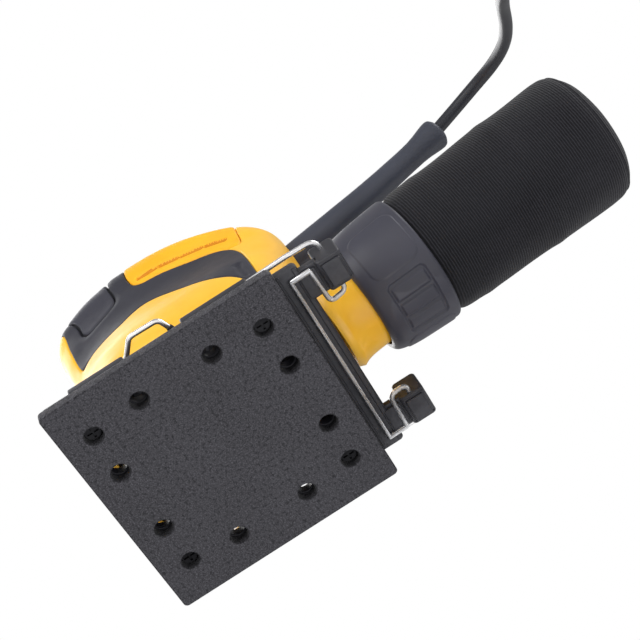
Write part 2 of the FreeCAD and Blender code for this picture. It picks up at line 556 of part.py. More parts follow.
# the lead joins the coil along a tangent
n_in = V(-0.5, 0.8660, 0)
R_OUT = COIL_R + CORD_R + 0.1
ent = V(COIL_X, COIL_Y, 0) + n_in * R_OUT
cord_route.append((ent.x - 2.0, ent.y - 1.3, 3.6))
cord_tube, cord_len, rr = tube(cord_route, CORD_R, None, "cord_run")
print("cord_run radii", [round(r, 1) for r in rr], "length", round(cord_len, 1), "section*length", round(math.pi * CORD_R ** 2 * cord_len, 0), "volume", round(cord_tube.Volume, 0))
out("cord_run", cord_tube)
coil = ring(R_OUT + CORD_R + 0.3, COIL_R - 2 * CORD_R - 0.4, COIL_TOP - 0.2, (COIL_X, COIL_Y, 0.2))
out("cord_coil", coil)

# tail from the top turn down to the plug lying beside the coil
def coil_pt(deg, r, z):
    return (COIL_X + r * math.cos(math.radians(deg)), COIL_Y + r * math.sin(math.radians(deg)), z)


tail = [coil_pt(36.0, 35.6, 20.6), coil_pt(17.0, 38.6, 17.0), coil_pt(-2.0, 40.6, 11.4), coil_pt(-20.0, 41.6, 6.9)]
T0 = V(*tail[-1])
PLUG_DIR = V(-0.342, -0.94, 0)
PLUG_DIR.normalize()
plug_at = T0 + PLUG_DIR * 16.5
tail.append((plug_at.x, plug_at.y, 6.9))
tail_tube, tail_len, rr = tube(tail, CORD_R, None, "cord_tail")
print("cord_tail radii", [round(r, 1) for r in rr], "length", round(tail_len, 1))
out("cord_tail", tail_tube)


def place(s, at, d):
    """Local +Y along d, in the floor plane."""
    ang = math.degrees(math.atan2(d.y, d.x)) - 90.0
    s.rotate(V(0, 0, 0), V(0, 0, 1), ang)
    s.translate(at)
    return s


# two-pin mains plug, flat six-sided body lying on the floor
w = Part.makePolygon([V(-6.0, 0, -6.6), V(6.0, 0, -6.6), V(6.0, 0, -6.6)][:2] + [V(6.0, 0, 6.6), V(-6.0, 0, 6.6), V(-6.0, 0, -6.6)])
sl = []
for (y, hw, ht) in ((0.0, 5.0, 5.2), (9.0, 6.6, 6.0), (18.0, 16.6, 6.8), (33.6, 17.4, 6.8), (36.0, 16.6, 6.4)):
    c = min(hw * 0.45, ht * 0.95)
    pts = [V(-hw, y, -ht * 0.25), V(-hw + c, y, -ht), V(hw - c, y, -ht), V(hw, y, -ht * 0.25), V(hw, y, ht * 0.25), V(hw - c, y, ht), V(-hw + c, y, ht), V(-hw, y, ht * 0.25)]
    sl.append(Part.makePolygon(pts + [pts[0]]))
plug = Part.makeLoft(sl, True, True)
plug = plug.cut(Part.makeCylinder(CORD_R, 4.0, V(0, -1, 0), V(0, 1, 0)))
pc = V(plug_at.x, plug_at.y, 6.9) - PLUG_DIR * 3.0
out("plug_body", place(plug, pc, PLUG_DIR))
pins = []
for s in (-1, 1):
    p = Part.makeCylinder(2.0, 17.2, V(s * 9.5, 36.0, 0), V(0, 1, 0)).fuse(Part.makeSphere(2.0, V(s * 9.5, 53.2, 0)))
    pins.append(place(p, pc, PLUG_DIR))
out("plug_pins", pins)
for s in (-1, 1):
    w = place(Part.Vertex(V(s * 9.5, 44.0, 0)), pc, PLUG_DIR)
    print("plug pin at", w.Point)

tb = box(COIL_R - 7.8, -4.5, 0.0, COIL_R + 7.8, 4.5, COIL_TOP + 1.0).cut(box(COIL_R - 6.9, -6, 0.2, COIL_R + 6.9, 6, COIL_TOP + 0.1))
tb.rotate(V(0, 0, 0), V(0, 0, 1), -100.0)
tb.translate(V(COIL_X, COIL_Y, 0))
out("cord_tie", tb)

allb = Part.makeCompound(list(made.values())).BoundBox
print("nodes", len(made), "box", allb)
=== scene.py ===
import json
import math

import bmesh
import bpy
import numpy as np
from mathutils import Matrix, Vector


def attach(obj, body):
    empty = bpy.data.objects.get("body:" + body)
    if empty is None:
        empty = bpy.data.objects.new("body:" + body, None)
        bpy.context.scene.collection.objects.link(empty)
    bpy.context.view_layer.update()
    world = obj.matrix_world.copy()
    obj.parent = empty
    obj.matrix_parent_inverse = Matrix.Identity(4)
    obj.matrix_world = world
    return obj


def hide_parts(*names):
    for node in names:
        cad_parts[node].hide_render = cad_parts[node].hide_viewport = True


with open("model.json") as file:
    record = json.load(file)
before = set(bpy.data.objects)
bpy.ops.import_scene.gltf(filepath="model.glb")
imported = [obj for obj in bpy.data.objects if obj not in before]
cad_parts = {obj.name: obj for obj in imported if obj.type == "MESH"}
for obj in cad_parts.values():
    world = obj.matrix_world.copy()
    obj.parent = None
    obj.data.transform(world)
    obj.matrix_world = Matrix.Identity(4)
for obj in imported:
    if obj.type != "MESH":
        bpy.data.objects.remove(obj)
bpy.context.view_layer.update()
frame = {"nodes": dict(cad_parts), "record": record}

MM = 0.001

# ------------------------------------------------------------------ camera
cam_data = bpy.data.cameras.new("camera")
cam = bpy.data.objects.new("camera", cam_data)
bpy.context.scene.collection.objects.link(cam)
R0 = Vector((-0.4632259243, 0.8430223144, -0.2733772494))
R1 = Vector((-0.7259351202, -0.5378785827, -0.4286080162))
R2 = Vector((-0.5083698892, -0.0000881981, 0.8611388088))
rot = Matrix((R0, -R1, -R2)).transposed()
cam.matrix_world = Matrix.Translation((0.3454738, 0.0605001, -0.5390672)) @ rot.to_4x4()
cam_data.lens = 87.96
cam_data.sensor_width = 36.0
cam_data.clip_start, cam_data.clip_end = 0.01, 20.0
bpy.context.scene.camera = cam
bpy.context.scene.view_settings.view_transform = "Standard"
bpy.context.scene.view_settings.look = "None"


# ------------------------------------------------------------------ materials
def lin(r, g, b):
    def f(c):
        c /= 255.0
        return c / 12.92 if c <= 0.04045 else ((c + 0.055) / 1.055) ** 2.4
    return (f(r), f(g), f(b), 1.0)


def mix_rgb(nt, fac, a, b, blend="MIX"):
    n = nt.nodes.new("ShaderNodeMix")
    n.data_type = "RGBA"
    n.blend_type = blend
    n.clamp_factor = True
    if isinstance(fac, (int, float)):
        n.inputs[0].default_value = fac
    else:
        nt.links.new(fac, n.inputs[0])
    for sock, v in ((n.inputs[6], a), (n.inputs[7], b)):
        if isinstance(v, tuple):
            sock.default_value = v
        else:
            nt.links.new(v, sock)
    return n.outputs[2]


def ramp(nt, src, stops):
    n = nt.nodes.new("ShaderNodeValToRGB")
    cr = n.color_ramp
    while len(cr.elements) < len(stops):
        cr.elements.new(0.5)
    for e, (p, c) in zip(cr.elements, stops):
        e.position = p
        e.color = c if isinstance(c, tuple) else (c, c, c, 1)
    nt.links.new(src, n.inputs[0])
    return n.outputs[0]


def noise_tex(nt, coord, scale, detail=3.0, rough=0.55, distortion=0.0):
    n = nt.nodes.new("ShaderNodeTexNoise")
    n.inputs["Scale"].default_value = scale
    n.inputs["Detail"].default_value = detail
    n.inputs["Roughness"].default_value = rough
    n.inputs["Distortion"].default_value = distortion
    nt.links.new(coord, n.inputs["Vector"])
    return n.outputs[0]


def voronoi(nt, coord, scale, feature="F1"):
    n = nt.nodes.new("ShaderNodeTexVoronoi")
    n.feature = feature
    n.inputs["Scale"].default_value = scale
    nt.links.new(coord, n.inputs["Vector"])
    return n.outputs[0]


def bump(nt, height, strength, distance, normal=None):
    n = nt.nodes.new("ShaderNodeBump")
    n.inputs["Strength"].default_value = strength
    n.inputs["Distance"].default_value = distance
    nt.links.new(height, n.inputs["Height"])
    if normal is not None:
        nt.links.new(normal, n.inputs["Normal"])
    return n.outputs[0]


def start(name):
    m = bpy.data.materials.new(name)
    m.use_nodes = True
    nt = m.node_tree
    b = next(n for n in nt.nodes if n.type == "BSDF_PRINCIPLED")
    tc = nt.nodes.new("ShaderNodeTexCoord")
    return m, nt, b, tc.outputs["Object"]


def edges(nt, lo=0.52, hi=0.60):
    g = nt.nodes.new("ShaderNodeNewGeometry")
    return ramp(nt, g.outputs["Pointiness"], [(lo, 0.0), (hi, 1.0)])


def moulded(name, base, tint, rough=(0.34, 0.48), grain=1500.0, grain_h=0.00006, strength=0.35,
            spec=0.5, coat=0.0, wear=None, wear_amount=0.4, sss=0.0, cloud=26.0):
    """Moulded plastic or rubber: cloudy colour drift, fine mould grain, edges rubbed a little lighter."""
    m, nt, b, co = start(name)
    big = noise_tex(nt, co, cloud, 4.0, 0.6)
    col = mix_rgb(nt, ramp(nt, big, [(0.3, 0.0), (0.72, 1.0)]), base, tint)
    dust = noise_tex(nt, co, 420.0, 2.0, 0.7)
    col = mix_rgb(nt, ramp(nt, dust, [(0.55, 0.0), (0.85, 0.30)]), col, tint)
    if wear:
        w = edges(nt)
        scr = noise_tex(nt, co, 260.0, 4.0, 0.7)
        wm = nt.nodes.new("ShaderNodeMath")
        wm.operation = "MULTIPLY"
        nt.links.new(w, wm.inputs[0])
        nt.links.new(ramp(nt, scr, [(0.35, 0.15), (0.65, wear_amount)]), wm.inputs[1])
        col = mix_rgb(nt, wm.outputs[0], col, wear)
    nt.links.new(col, b.inputs["Base Color"])
    rn = noise_tex(nt, co, 85.0, 5.0, 0.65)
    nt.links.new(ramp(nt, rn, [(0.25, rough[0]), (0.75, rough[1])]), b.inputs["Roughness"])
    fine = noise_tex(nt, co, grain, 2.0, 0.6)
    nrm = bump(nt, fine, strength, grain_h)
    nt.links.new(nrm, b.inputs["Normal"])
    b.inputs["Specular IOR Level"].default_value = spec
    b.inputs["Coat Weight"].default_value = coat
    b.inputs["Coat Roughness"].default_value = 0.22
    if sss:
        b.inputs["Subsurface Weight"].default_value = sss
        b.inputs["Subsurface Scale"].default_value = 0.0015
    return m


def metal(name, col, tint, rough=(0.12, 0.3), streak=(60.0, 60.0, 900.0), spots=True):
    m, nt, b, co = start(name)
    mp = nt.nodes.new("ShaderNodeMapping")
    mp.inputs["Scale"].default_value = (streak[0], streak[1], streak[2])
    nt.links.new(co, mp.inputs["Vector"])
    st = noise_tex(nt, mp.outputs[0], 1.0, 3.0, 0.6)
    cl = noise_tex(nt, co, 130.0, 4.0, 0.7)
    c = mix_rgb(nt, ramp(nt, cl, [(0.35, 0.0), (0.75, 1.0)]), col, tint)
    nt.links.new(c, b.inputs["Base Color"])
    b.inputs["Metallic"].default_value = 1.0
    nt.links.new(ramp(nt, st, [(0.3, rough[0]), (0.7, rough[1])]), b.inputs["Roughness"])
    nt.links.new(bump(nt, st, 0.15, 0.00003), b.inputs["Normal"])
    return m


def foam_material():
    m, nt, b, co = start("closed_cell_foam")
    cells = voronoi(nt, co, 1500.0)
    fine = noise_tex(nt, co, 1500.0, 3.0, 0.75)
    mid = noise_tex(nt, co, 620.0, 3.0, 0.7)
    cloud = noise_tex(nt, co, 30.0, 4.0, 0.6)
    base = mix_rgb(nt, ramp(nt, cloud, [(0.3, 0.0), (0.7, 1.0)]), (0.034, 0.033, 0.038, 1), (0.046, 0.045, 0.052, 1))
    c1 = mix_rgb(nt, ramp(nt, fine, [(0.47, 0.0), (0.66, 1.0)]), base, (0.105, 0.103, 0.118, 1))
    c2 = mix_rgb(nt, ramp(nt, mid, [(0.34, 0.85), (0.5, 0.0)]), c1, (0.013, 0.013, 0.016, 1))
    nt.links.new(c2, b.inputs["Base Color"])
    b.inputs["Roughness"].default_value = 0.86
    b.inputs["Specular IOR Level"].default_value = 0.25
    b.inputs["Sheen Weight"].default_value = 0.12
    b.inputs["Sheen Roughness"].default_value = 0.5
    n1 = bump(nt, cells, 0.55, 0.00016)
    nt.links.new(bump(nt, fine, 0.6, 0.00018, n1), b.inputs["Normal"])
    return m


def bag_material():
    """Black ribbed weave: fine ribs across the tube, crossed by the picks, in a dark synthetic yarn."""
    m, nt, b, co = start("ribbed_bag_weave")
    mp = nt.nodes.new("ShaderNodeMapping")
    mp.inputs["Rotation"].default_value = (math.radians(-7.4), 0.0, 0.0)
    nt.links.new(co, mp.inputs["Vector"])
    w1 = nt.nodes.new("ShaderNodeTexWave")
    w1.wave_type, w1.bands_direction = "BANDS", "Y"
    w1.inputs["Scale"].default_value = 2 * math.pi / (20 * 0.00115)
    w1.inputs["Distortion"].default_value = 1.2
    w1.inputs["Detail"].default_value = 2.0
    w1.inputs["Detail Scale"].default_value = 1.4
    nt.links.new(mp.outputs[0], w1.inputs["Vector"])
    w2 = nt.nodes.new("ShaderNodeTexWave")
    w2.wave_type, w2.bands_direction = "BANDS", "DIAGONAL"
    w2.inputs["Scale"].default_value = 2 * math.pi / (20 * 0.0016)
    w2.inputs["Distortion"].default_value = 1.6
    nt.links.new(mp.outputs[0], w2.inputs["Vector"])
    cloud = noise_tex(nt, co, 34.0, 4.0, 0.6)
    fuzz = noise_tex(nt, co, 900.0, 3.0, 0.7)
    base = mix_rgb(nt, ramp(nt, cloud, [(0.3, 0.0), (0.75, 1.0)]), (0.0055, 0.0055, 0.007, 1), (0.0115, 0.0115, 0.014, 1))
    # rib crests painted lighter than the troughs along the same wave as the rib bump: painted highlight on the ribs,
    # painted shade between them
    c1 = mix_rgb(nt, ramp(nt, w1.outputs[1], [(0.45, 0.0), (0.95, 0.8)]), base, (0.030, 0.030, 0.036, 1))
    c2 = mix_rgb(nt, ramp(nt, fuzz, [(0.5, 0.0), (0.8, 0.35)]), c1, (0.035, 0.034, 0.040, 1))
    nt.links.new(c2, b.inputs["Base Color"])
    b.inputs["Roughness"].default_value = 0.9
    b.inputs["Specular IOR Level"].default_value = 0.16
    b.inputs["Sheen Weight"].default_value = 0.10
    b.inputs["Sheen Roughness"].default_value = 0.45
    n1 = bump(nt, w1.outputs[1], 0.8, 0.00022)
    n2 = bump(nt, w2.outputs[1], 0.35, 0.00010, n1)
    nt.links.new(bump(nt, fuzz, 0.35, 0.00012, n2), b.inputs["Normal"])
    return m


def strap_material():
    m, nt, b, co = start("hook_and_loop_strap")
    f = noise_tex(nt, co, 1500.0, 3.0, 0.8)
    v = voronoi(nt, co, 1100.0)
    c = mix_rgb(nt, ramp(nt, f, [(0.4, 0.0), (0.7, 1.0)]), (0.010, 0.010, 0.012, 1), (0.045, 0.045, 0.050, 1))
    nt.links.new(c, b.inputs["Base Color"])
    b.inputs["Roughness"].default_value = 0.95
    b.inputs["Sheen Weight"].default_value = 0.3
    nt.links.new(bump(nt, v, 0.8, 0.0003), b.inputs["Normal"])
    return m


YELLOW = lin(247, 182, 30)
YELLOW2 = lin(252, 196, 52)
MAT = {
    "yellow": moulded("yellow_shell_plastic", YELLOW, YELLOW2, (0.30, 0.42), 1300.0, 0.00005, 0.30, 0.5, wear=lin(255, 222, 130), wear_amount=0.30, sss=0.04),
    "palm": moulded("palm_pad_elastomer", lin(244, 170, 12), lin(250, 184, 26), (0.50, 0.64), 1100.0, 0.00009, 0.5, 0.4, wear=lin(255, 205, 90), wear_amount=0.25, sss=0.05),
    "dark": moulded("dark_overmould", lin(42, 42, 50), lin(49, 49, 58), (0.44, 0.58), 1200.0, 0.00007, 0.45, 0.34, wear=lin(108, 108, 118), wear_amount=0.35),
    # darker palm colour for the lozenge slots: painted shade in the grooves
    "palm_slot_painted_shade": moulded("palm_pad_slot_painted_shade", lin(205, 128, 4), lin(214, 138, 8), (0.55, 0.68), 1100.0, 0.00009, 0.5, 0.3),
    "rocker": moulded("rocker_elastomer", lin(47, 47, 56), lin(54, 54, 64), (0.48, 0.62), 900.0, 0.00010, 0.55, 0.38, wear=lin(100, 100, 108), wear_amount=0.35),
    "collar": moulded("collar_plastic", lin(54, 54, 64), lin(62, 62, 73), (0.36, 0.50), 1400.0, 0.00005, 0.35, 0.45, wear=lin(120, 120, 130), wear_amount=0.40),
    "black": moulded("black_nylon", lin(36, 36, 41), lin(46, 46, 52), (0.30, 0.46), 1500.0, 0.00005, 0.35, 0.5, wear=lin(96, 96, 102), wear_amount=0.45),
    "seal": moulded("seal_rubber", lin(28, 28, 31), lin(38, 38, 42), (0.6, 0.8), 900.0, 0.00012, 0.6, 0.3),
    "cord": moulded("cord_sheath", lin(34, 35, 41), lin(42, 43, 50), (0.34, 0.44), 900.0, 0.00003, 0.15, 0.4, cloud=40.0),
    "boot": moulded("sleeve_rubber", lin(54, 57, 68), lin(62, 65, 77), (0.40, 0.52), 1000.0, 0.00008, 0.4, 0.45),
    "plug": moulded("plug_body_plastic", lin(30, 30, 34), lin(40, 40, 45), (0.34, 0.5), 1000.0, 0.00007, 0.45, 0.5, wear=lin(80, 80, 86), wear_amount=0.3),
    "chrome": metal("bright_wire", (0.93, 0.93, 0.95, 1), (0.82, 0.83, 0.85, 1), (0.20, 0.34)),
    "blacked": metal("blacked_screw", (0.055, 0.055, 0.06, 1), (0.035, 0.035, 0.04, 1), (0.35, 0.55)),
    "zinc": metal("zinc_steel", (0.55, 0.56, 0.58, 1), (0.42, 0.43, 0.45, 1), (0.28, 0.5)),
    "bearing": metal("ground_steel", (0.62, 0.63, 0.65, 1), (0.50, 0.51, 0.53, 1), (0.16, 0.32)),
    "laminate": metal("laminated_steel", (0.30, 0.31, 0.33, 1), (0.20, 0.20, 0.22, 1), (0.35, 0.6), (40.0, 40.0, 2600.0)),
    "copper": metal("enamelled_copper", (0.70, 0.30, 0.14, 1), (0.52, 0.20, 0.08, 1), (0.22, 0.4), (30.0, 30.0, 2200.0)),
    "brass": metal("brass_part", (0.78, 0.58, 0.25, 1), (0.62, 0.44, 0.17, 1), (0.2, 0.4)),
    "pin": metal("plated_pin", (0.80, 0.76, 0.66, 1), (0.66, 0.62, 0.52, 1), (0.14, 0.3)),
    "fan": moulded("fan_plastic", lin(96, 98, 102), lin(118, 120, 124), (0.4, 0.6), 900.0, 0.00008, 0.4, 0.4),
    "carbon": moulded("brush_carbon", lin(26, 26, 28), lin(44, 44, 47), (0.5, 0.8), 2200.0, 0.0001, 0.6, 0.4),
    "foam": foam_material(),
    "bag": bag_material(),
    "strap": strap_material(),
}

SLOT_MAT = {
    "yellow_shell": "yellow", "palm_rubber": "palm", "dark_overmould": "dark", "rocker_rubber": "rocker", "dark_plastic": "collar",
    "foam": "foam", "black_plastic": "black", "seal_rubber": "seal", "chrome_wire": "chrome", "zinc_steel": "zinc",
    "bearing_steel": "bearing", "cast_weight": "zinc", "laminated_steel": "laminate", "copper": "copper", "brass_part": "brass",
    "carbon": "carbon", "fan_plastic": "fan", "bag_cloth": "bag", "cord_rubber": "cord", "tie_cloth": "strap",
    "plug_plastic": "plug", "pin_brass": "pin",
}
for sp in frame["record"]["subparts"]:
    ob = frame["nodes"][sp["node"]]
    ob.data.materials.clear()
    ob.data.materials.append(MAT["blacked" if sp["node"] == "pad_screws" else SLOT_MAT[sp["material_slot"]]])


# ------------------------------------------------------------------ mesh tools (millimetres in, metres out)
def build(name, verts, faces, mat, body, slot, replaces=(), sharp=38.0, weld=True):
    me = bpy.data.meshes.new(name)
    me.from_pydata([tuple(float(c) * MM for c in v) for v in verts], [], [tuple(int(i) for i in f) for f in faces])
    bm = bmesh.new()
    bm.from_mesh(me)
    if weld:
        bmesh.ops.remove_doubles(bm, verts=bm.verts, dist=2e-6)
    bmesh.ops.recalc_face_normals(bm, faces=bm.faces)
    bm.to_mesh(me)
    bm.free()
    me.shade_smooth()
    me.set_sharp_from_angle(angle=math.radians(sharp))
    ob = bpy.data.objects.new(name, me)
    bpy.context.scene.collection.objects.link(ob)
    me.materials.append(MAT[mat])
    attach(ob, body)
    if replaces:
        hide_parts(*replaces)
    return ob


def merge(*parts):
    V, F = [], []
    for v, f in parts:
        o = len(V)
        V.extend([tuple(p) for p in v])
        F.extend([tuple(i + o for i in q) for q in f])
    return V, F


def mirrored(part):
    v, f = part
    return [(-p[0], p[1], p[2]) for p in v], [tuple(reversed(q)) for q in f]


def catmull(pts, n, closed=False):
    P = np.array(pts, float)
    k = len(P)
    out = []
    segs = k if closed else k - 1
    for i in range(segs):
        p1, p2 = P[i], P[(i + 1) % k]
        p0 = P[(i - 1) % k] if closed or i > 0 else p1 * 2 - p2
        p3 = P[(i + 2) % k] if closed or i + 2 < k else p2 * 2 - p1
        d0 = max(np.linalg.norm(p1 - p0) ** 0.5, 1e-6)
        d1 = max(np.linalg.norm(p2 - p1) ** 0.5, 1e-6)
        d2 = max(np.linalg.norm(p3 - p2) ** 0.5, 1e-6)
        m1 = ((p1 - p0) / d0 - (p2 - p0) / (d0 + d1) + (p2 - p1) / d1) * d1
        m2 = ((p2 - p1) / d1 - (p3 - p1) / (d1 + d2) + (p3 - p2) / d2) * d1
        for j in range(n):
            t = j / n
            out.append((2 * t**3 - 3 * t**2 + 1) * p1 + (t**3 - 2 * t**2 + t) * m1 + (-2 * t**3 + 3 * t**2) * p2 + (t**3 - t**2) * m2)
    if not closed:
        out.append(P[-1])
    return np.array(out)


def resample(P, step=None, n=None):
    P = np.array(P, float)
    d = np.concatenate([[0], np.cumsum(np.linalg.norm(np.diff(P, axis=0), axis=1))])
    n = n or max(2, int(round(d[-1] / step)) + 1)
    s = np.linspace(0, d[-1], n)
    return np.stack([np.interp(s, d, P[:, k]) for k in range(P.shape[1])], 1)


def frames(P):
    """Rotation-minimising frames along a polyline."""
    T = np.gradient(P, axis=0)
    T /= np.linalg.norm(T, axis=1)[:, None]
    u = np.cross(T[0], [0.0, 0.0, 1.0])
    if np.linalg.norm(u) < 1e-3:
        u = np.cross(T[0], [0.0, 1.0, 0.0])
    u /= np.linalg.norm(u)
    U = [u]
    for i in range(1, len(P)):
        u = U[-1] - T[i] * (U[-1] @ T[i])
        u /= np.linalg.norm(u)
        U.append(u)
    U = np.array(U)
    return T, U, np.cross(T, U)


def sweep(P, radii, n=24, caps=True):
    """Tube along points with a radius at each point; rounded or flat ends come from the radii."""
    P = np.array(P, float)
    T, U, W = frames(P)
    rr = np.broadcast_to(np.array(radii, float), (len(P),))
    a = np.linspace(0, 2 * np.pi, n, endpoint=False)
    V = (P[:, None, :] + rr[:, None, None] * (np.cos(a)[None, :, None] * U[:, None, :] + np.sin(a)[None, :, None] * W[:, None, :])).reshape(-1, 3)
    F = []
    for i in range(len(P) - 1):
        for j in range(n):
            k = (j + 1) % n
            F.append((i * n + j, i * n + k, (i + 1) * n + k, (i + 1) * n + j))
    if caps:
        F.append(tuple(range(n - 1, -1, -1)))
        F.append(tuple((len(P) - 1) * n + j for j in range(n)))
    return V, F


def round_ends(P, r, k=5):
    """Adds a small dome to both ends of a wire's centre line. Returns points and radii."""
    P = np.array(P, float)
    a, b = P[0] - P[1], P[-1] - P[-2]
    a /= np.linalg.norm(a)
    b /= np.linalg.norm(b)
    th = np.linspace(0, np.pi / 2 * 0.93, k)
    dome = 0.6 * r
    head = [P[0] + a * (dome * np.sin(t) - dome) for t in th][::-1]
    tail = [P[-1] + b * (dome * np.sin(t) - dome) for t in th]
    hr = [r * np.cos(t) for t in th][::-1]
    tr = [r * np.cos(t) for t in th]
    keep = [p for p in P[1:-1] if (p - head[-1]) @ a < -0.05 and (p - tail[0]) @ b < -0.05]
    pts = np.array(head + keep + tail)
    return pts, np.array(hr + [r] * len(keep) + tr)


def bent(pts, radii, step=7.0):
    """Centre line of bent wire: straight runs joined by tangent arcs."""
    P = [np.array(p, float) for p in pts]
    out = [P[0]]
    for i in range(1, len(P) - 1):
        a, b = P[i - 1] - P[i], P[i + 1] - P[i]
        a, b = a / np.linalg.norm(a), b / np.linalg.norm(b)
        turn = math.pi - math.acos(max(-1, min(1, a @ b)))
        r = radii[i - 1]
        t = r * math.tan(turn / 2)
        s, e = P[i] + a * t, P[i] + b * t
        m = (a + b) / np.linalg.norm(a + b)
        c = P[i] + m * (r / math.cos(turn / 2))
        k = max(3, int(math.degrees(turn) / step))
        v0, v1 = s - c, e - c
        for j in range(k + 1):
            w = j / k
            v = (math.sin((1 - w) * turn) * v0 + math.sin(w * turn) * v1) / math.sin(turn)
            out.append(c + v)
    out.append(P[-1])
    fine = [out[0]]
    for p in out[1:]:
        d = np.linalg.norm(p - fine[-1])
        if d < 0.02:
            continue
        k = max(1, int(d / 3.0))
        q = fine[-1]
        for j in range(1, k + 1):
            fine.append(q + (p - q) * j / k)
    return np.array(fine)


def flat_plate(loops, z0, z1, bevel, to_world=None, res=3):
    """Plate with holes and rolled edges. loops[0] is the outline, the rest are holes, as (x, y) points at the true size."""
    cu = bpy.data.curves.new("plate", "CURVE")
    cu.dimensions = "2D"
    cu.fill_mode = "BOTH"
    cu.extrude = (z1 - z0) / 2 - bevel
    cu.bevel_depth = bevel
    cu.bevel_resolution = res
    for k, loop in enumerate(loops):
        L = np.array(loop, float)
        area = 0.5 * np.sum(L[:, 0] * np.roll(L[:, 1], -1) - np.roll(L[:, 0], -1) * L[:, 1])
        if area < 0:
            L = L[::-1]
        nx = np.roll(L, -1, 0) - np.roll(L, 1, 0)
        nrm = np.stack([nx[:, 1], -nx[:, 0]], 1)
        nrm /= np.linalg.norm(nrm, axis=1)[:, None]
        L = L - nrm * bevel if k == 0 else L + nrm * bevel
        if k:
            L = L[::-1]
        sp = cu.splines.new("POLY")
        sp.points.add(len(L) - 1)
        for p, (x, y) in zip(sp.points, L):
            p.co = (x, y, 0, 1)
        sp.use_cyclic_u = True
    tmp = bpy.data.objects.new("plate", cu)
    bpy.context.scene.collection.objects.link(tmp)
    dg = bpy.context.evaluated_depsgraph_get()
    me = bpy.data.meshes.new_from_object(tmp.evaluated_get(dg))
    V = np.array([v.co[:] for v in me.vertices], float)
    F = [tuple(p.vertices) for p in me.polygons]
    bpy.data.objects.remove(tmp)
    bpy.data.curves.remove(cu)
    bpy.data.meshes.remove(me)
    V[:, 2] += (z0 + z1) / 2
    if to_world is not None:
        V = np.array([to_world(*v) for v in V])
    return V, F


def rrect(x0, y0, x1, y1, r, k=6):
    pts = []
    for cx, cy, a0 in ((x1 - r, y1 - r, 0), (x0 + r, y1 - r, 90), (x0 + r, y0 + r, 180), (x1 - r, y0 + r, 270)):
        for j in range(k + 1):
            a = math.radians(a0 + 90 * j / k)
            pts.append((cx + r * math.cos(a), cy + r * math.sin(a)))
    return pts


def circle(x, y, r, n=40):
    return [(x + r * math.cos(2 * math.pi * j / n), y + r * math.sin(2 * math.pi * j / n)) for j in range(n)]


def along_x(u, v, w):          # (u, v, w) -> y, z in the outline, extruded along x
    return (w, u, v)


TILT = math.radians(7.4)
AX = np.array([0.0, math.cos(TILT), math.sin(TILT)])
UP = np.array([0.0, -math.sin(TILT), math.cos(TILT)])
SD = np.array([1.0, 0.0, 0.0])


def on_axis(y):
    return np.array([0.0, y, 41.7 + math.tan(TILT) * (y - 80.0)])


def lathe(profile, origin, n=180, fun=None, closed=True):
    """Revolves (along, radius) points about the bag axis. fun(along, angle, radius, index) may move the radius."""
    V, F = [], []
    m = len(profile)
    for i, (s, r) in enumerate(profile):
        for j in range(n):
            a = 2 * math.pi * j / n
            q = r + (fun(s, a, r, i) if fun else 0.0)
            V.append(origin + AX * s + (SD * math.cos(a) + UP * math.sin(a)) * q)
    for i in range(m if closed else m - 1):
        i2 = (i + 1) % m
        for j in range(n):
            k = (j + 1) % n
            F.append((i * n + j, i * n + k, i2 * n + k, i2 * n + j))
    return V, F


def smooth_step(x, a, b):
    t = min(1.0, max(0.0, (x - a) / (b - a)))
    return t * t * (3 - 2 * t)


# ------------------------------------------------------------------ lead
BOOT_END = (0.0, 157.0, 136.8)
E = (0.0, 149.55, 133.89)
ROUTE = [E, (3.0, 169.0, 140.4), (8.5, 183.0, 139.6), (17.0, 195.4, 132.0), (29.0, 202.4, 119.6),
         (43.0, 204.0, 106.4), (57.0, 202.6, 92.4), (70.0, 200.8, 75.6), (81.0, 201.6, 56.4), (90.0, 205.2, 36.4),
         (99.6, 210.6, 16.4), (114.0, 218.6, 4.2)]
CX, CY = 146.0, 196.5
# turns from the entry, radius, height: two lanes side by side, four turns of the pair one on the other
COIL = [(0.0, 34.2, 3.3), (0.84, 34.1, 3.3), (1.0, 28.0, 3.3), (1.82, 28.0, 3.4), (2.08, 28.1, 9.5), (2.84, 28.0, 9.5), (3.0, 34.1, 9.5), (3.84, 34.1, 9.6),
        (4.1, 34.0, 15.7), (4.84, 34.1, 15.7), (5.0, 28.0, 15.7), (5.82, 28.0, 15.8), (6.08, 28.1, 21.9), (6.84, 28.0, 21.9), (7.0, 33.8, 21.9), (7.17, 34.3, 21.9),
        (7.233, 35.8, 21.2), (7.286, 38.6, 17.6), (7.339, 40.6, 12.0), (7.389, 41.6, 7.0)]


def coil_points():
    ks = [k + 0.02 for k in np.arange(0.0, 7.14, 1 / 16)] + [7.19, 7.233, 7.286, 7.339, 7.389]
    K = np.array(COIL)
    P = []
    for k in ks:
        r = np.interp(k, K[:, 0], K[:, 1]) * 1.012
        z = np.interp(k, K[:, 0], K[:, 2])
        a = math.radians(120.0 - 360.0 * k)
        P.append((CX + r * math.cos(a), CY + r * math.sin(a), z))
    return P


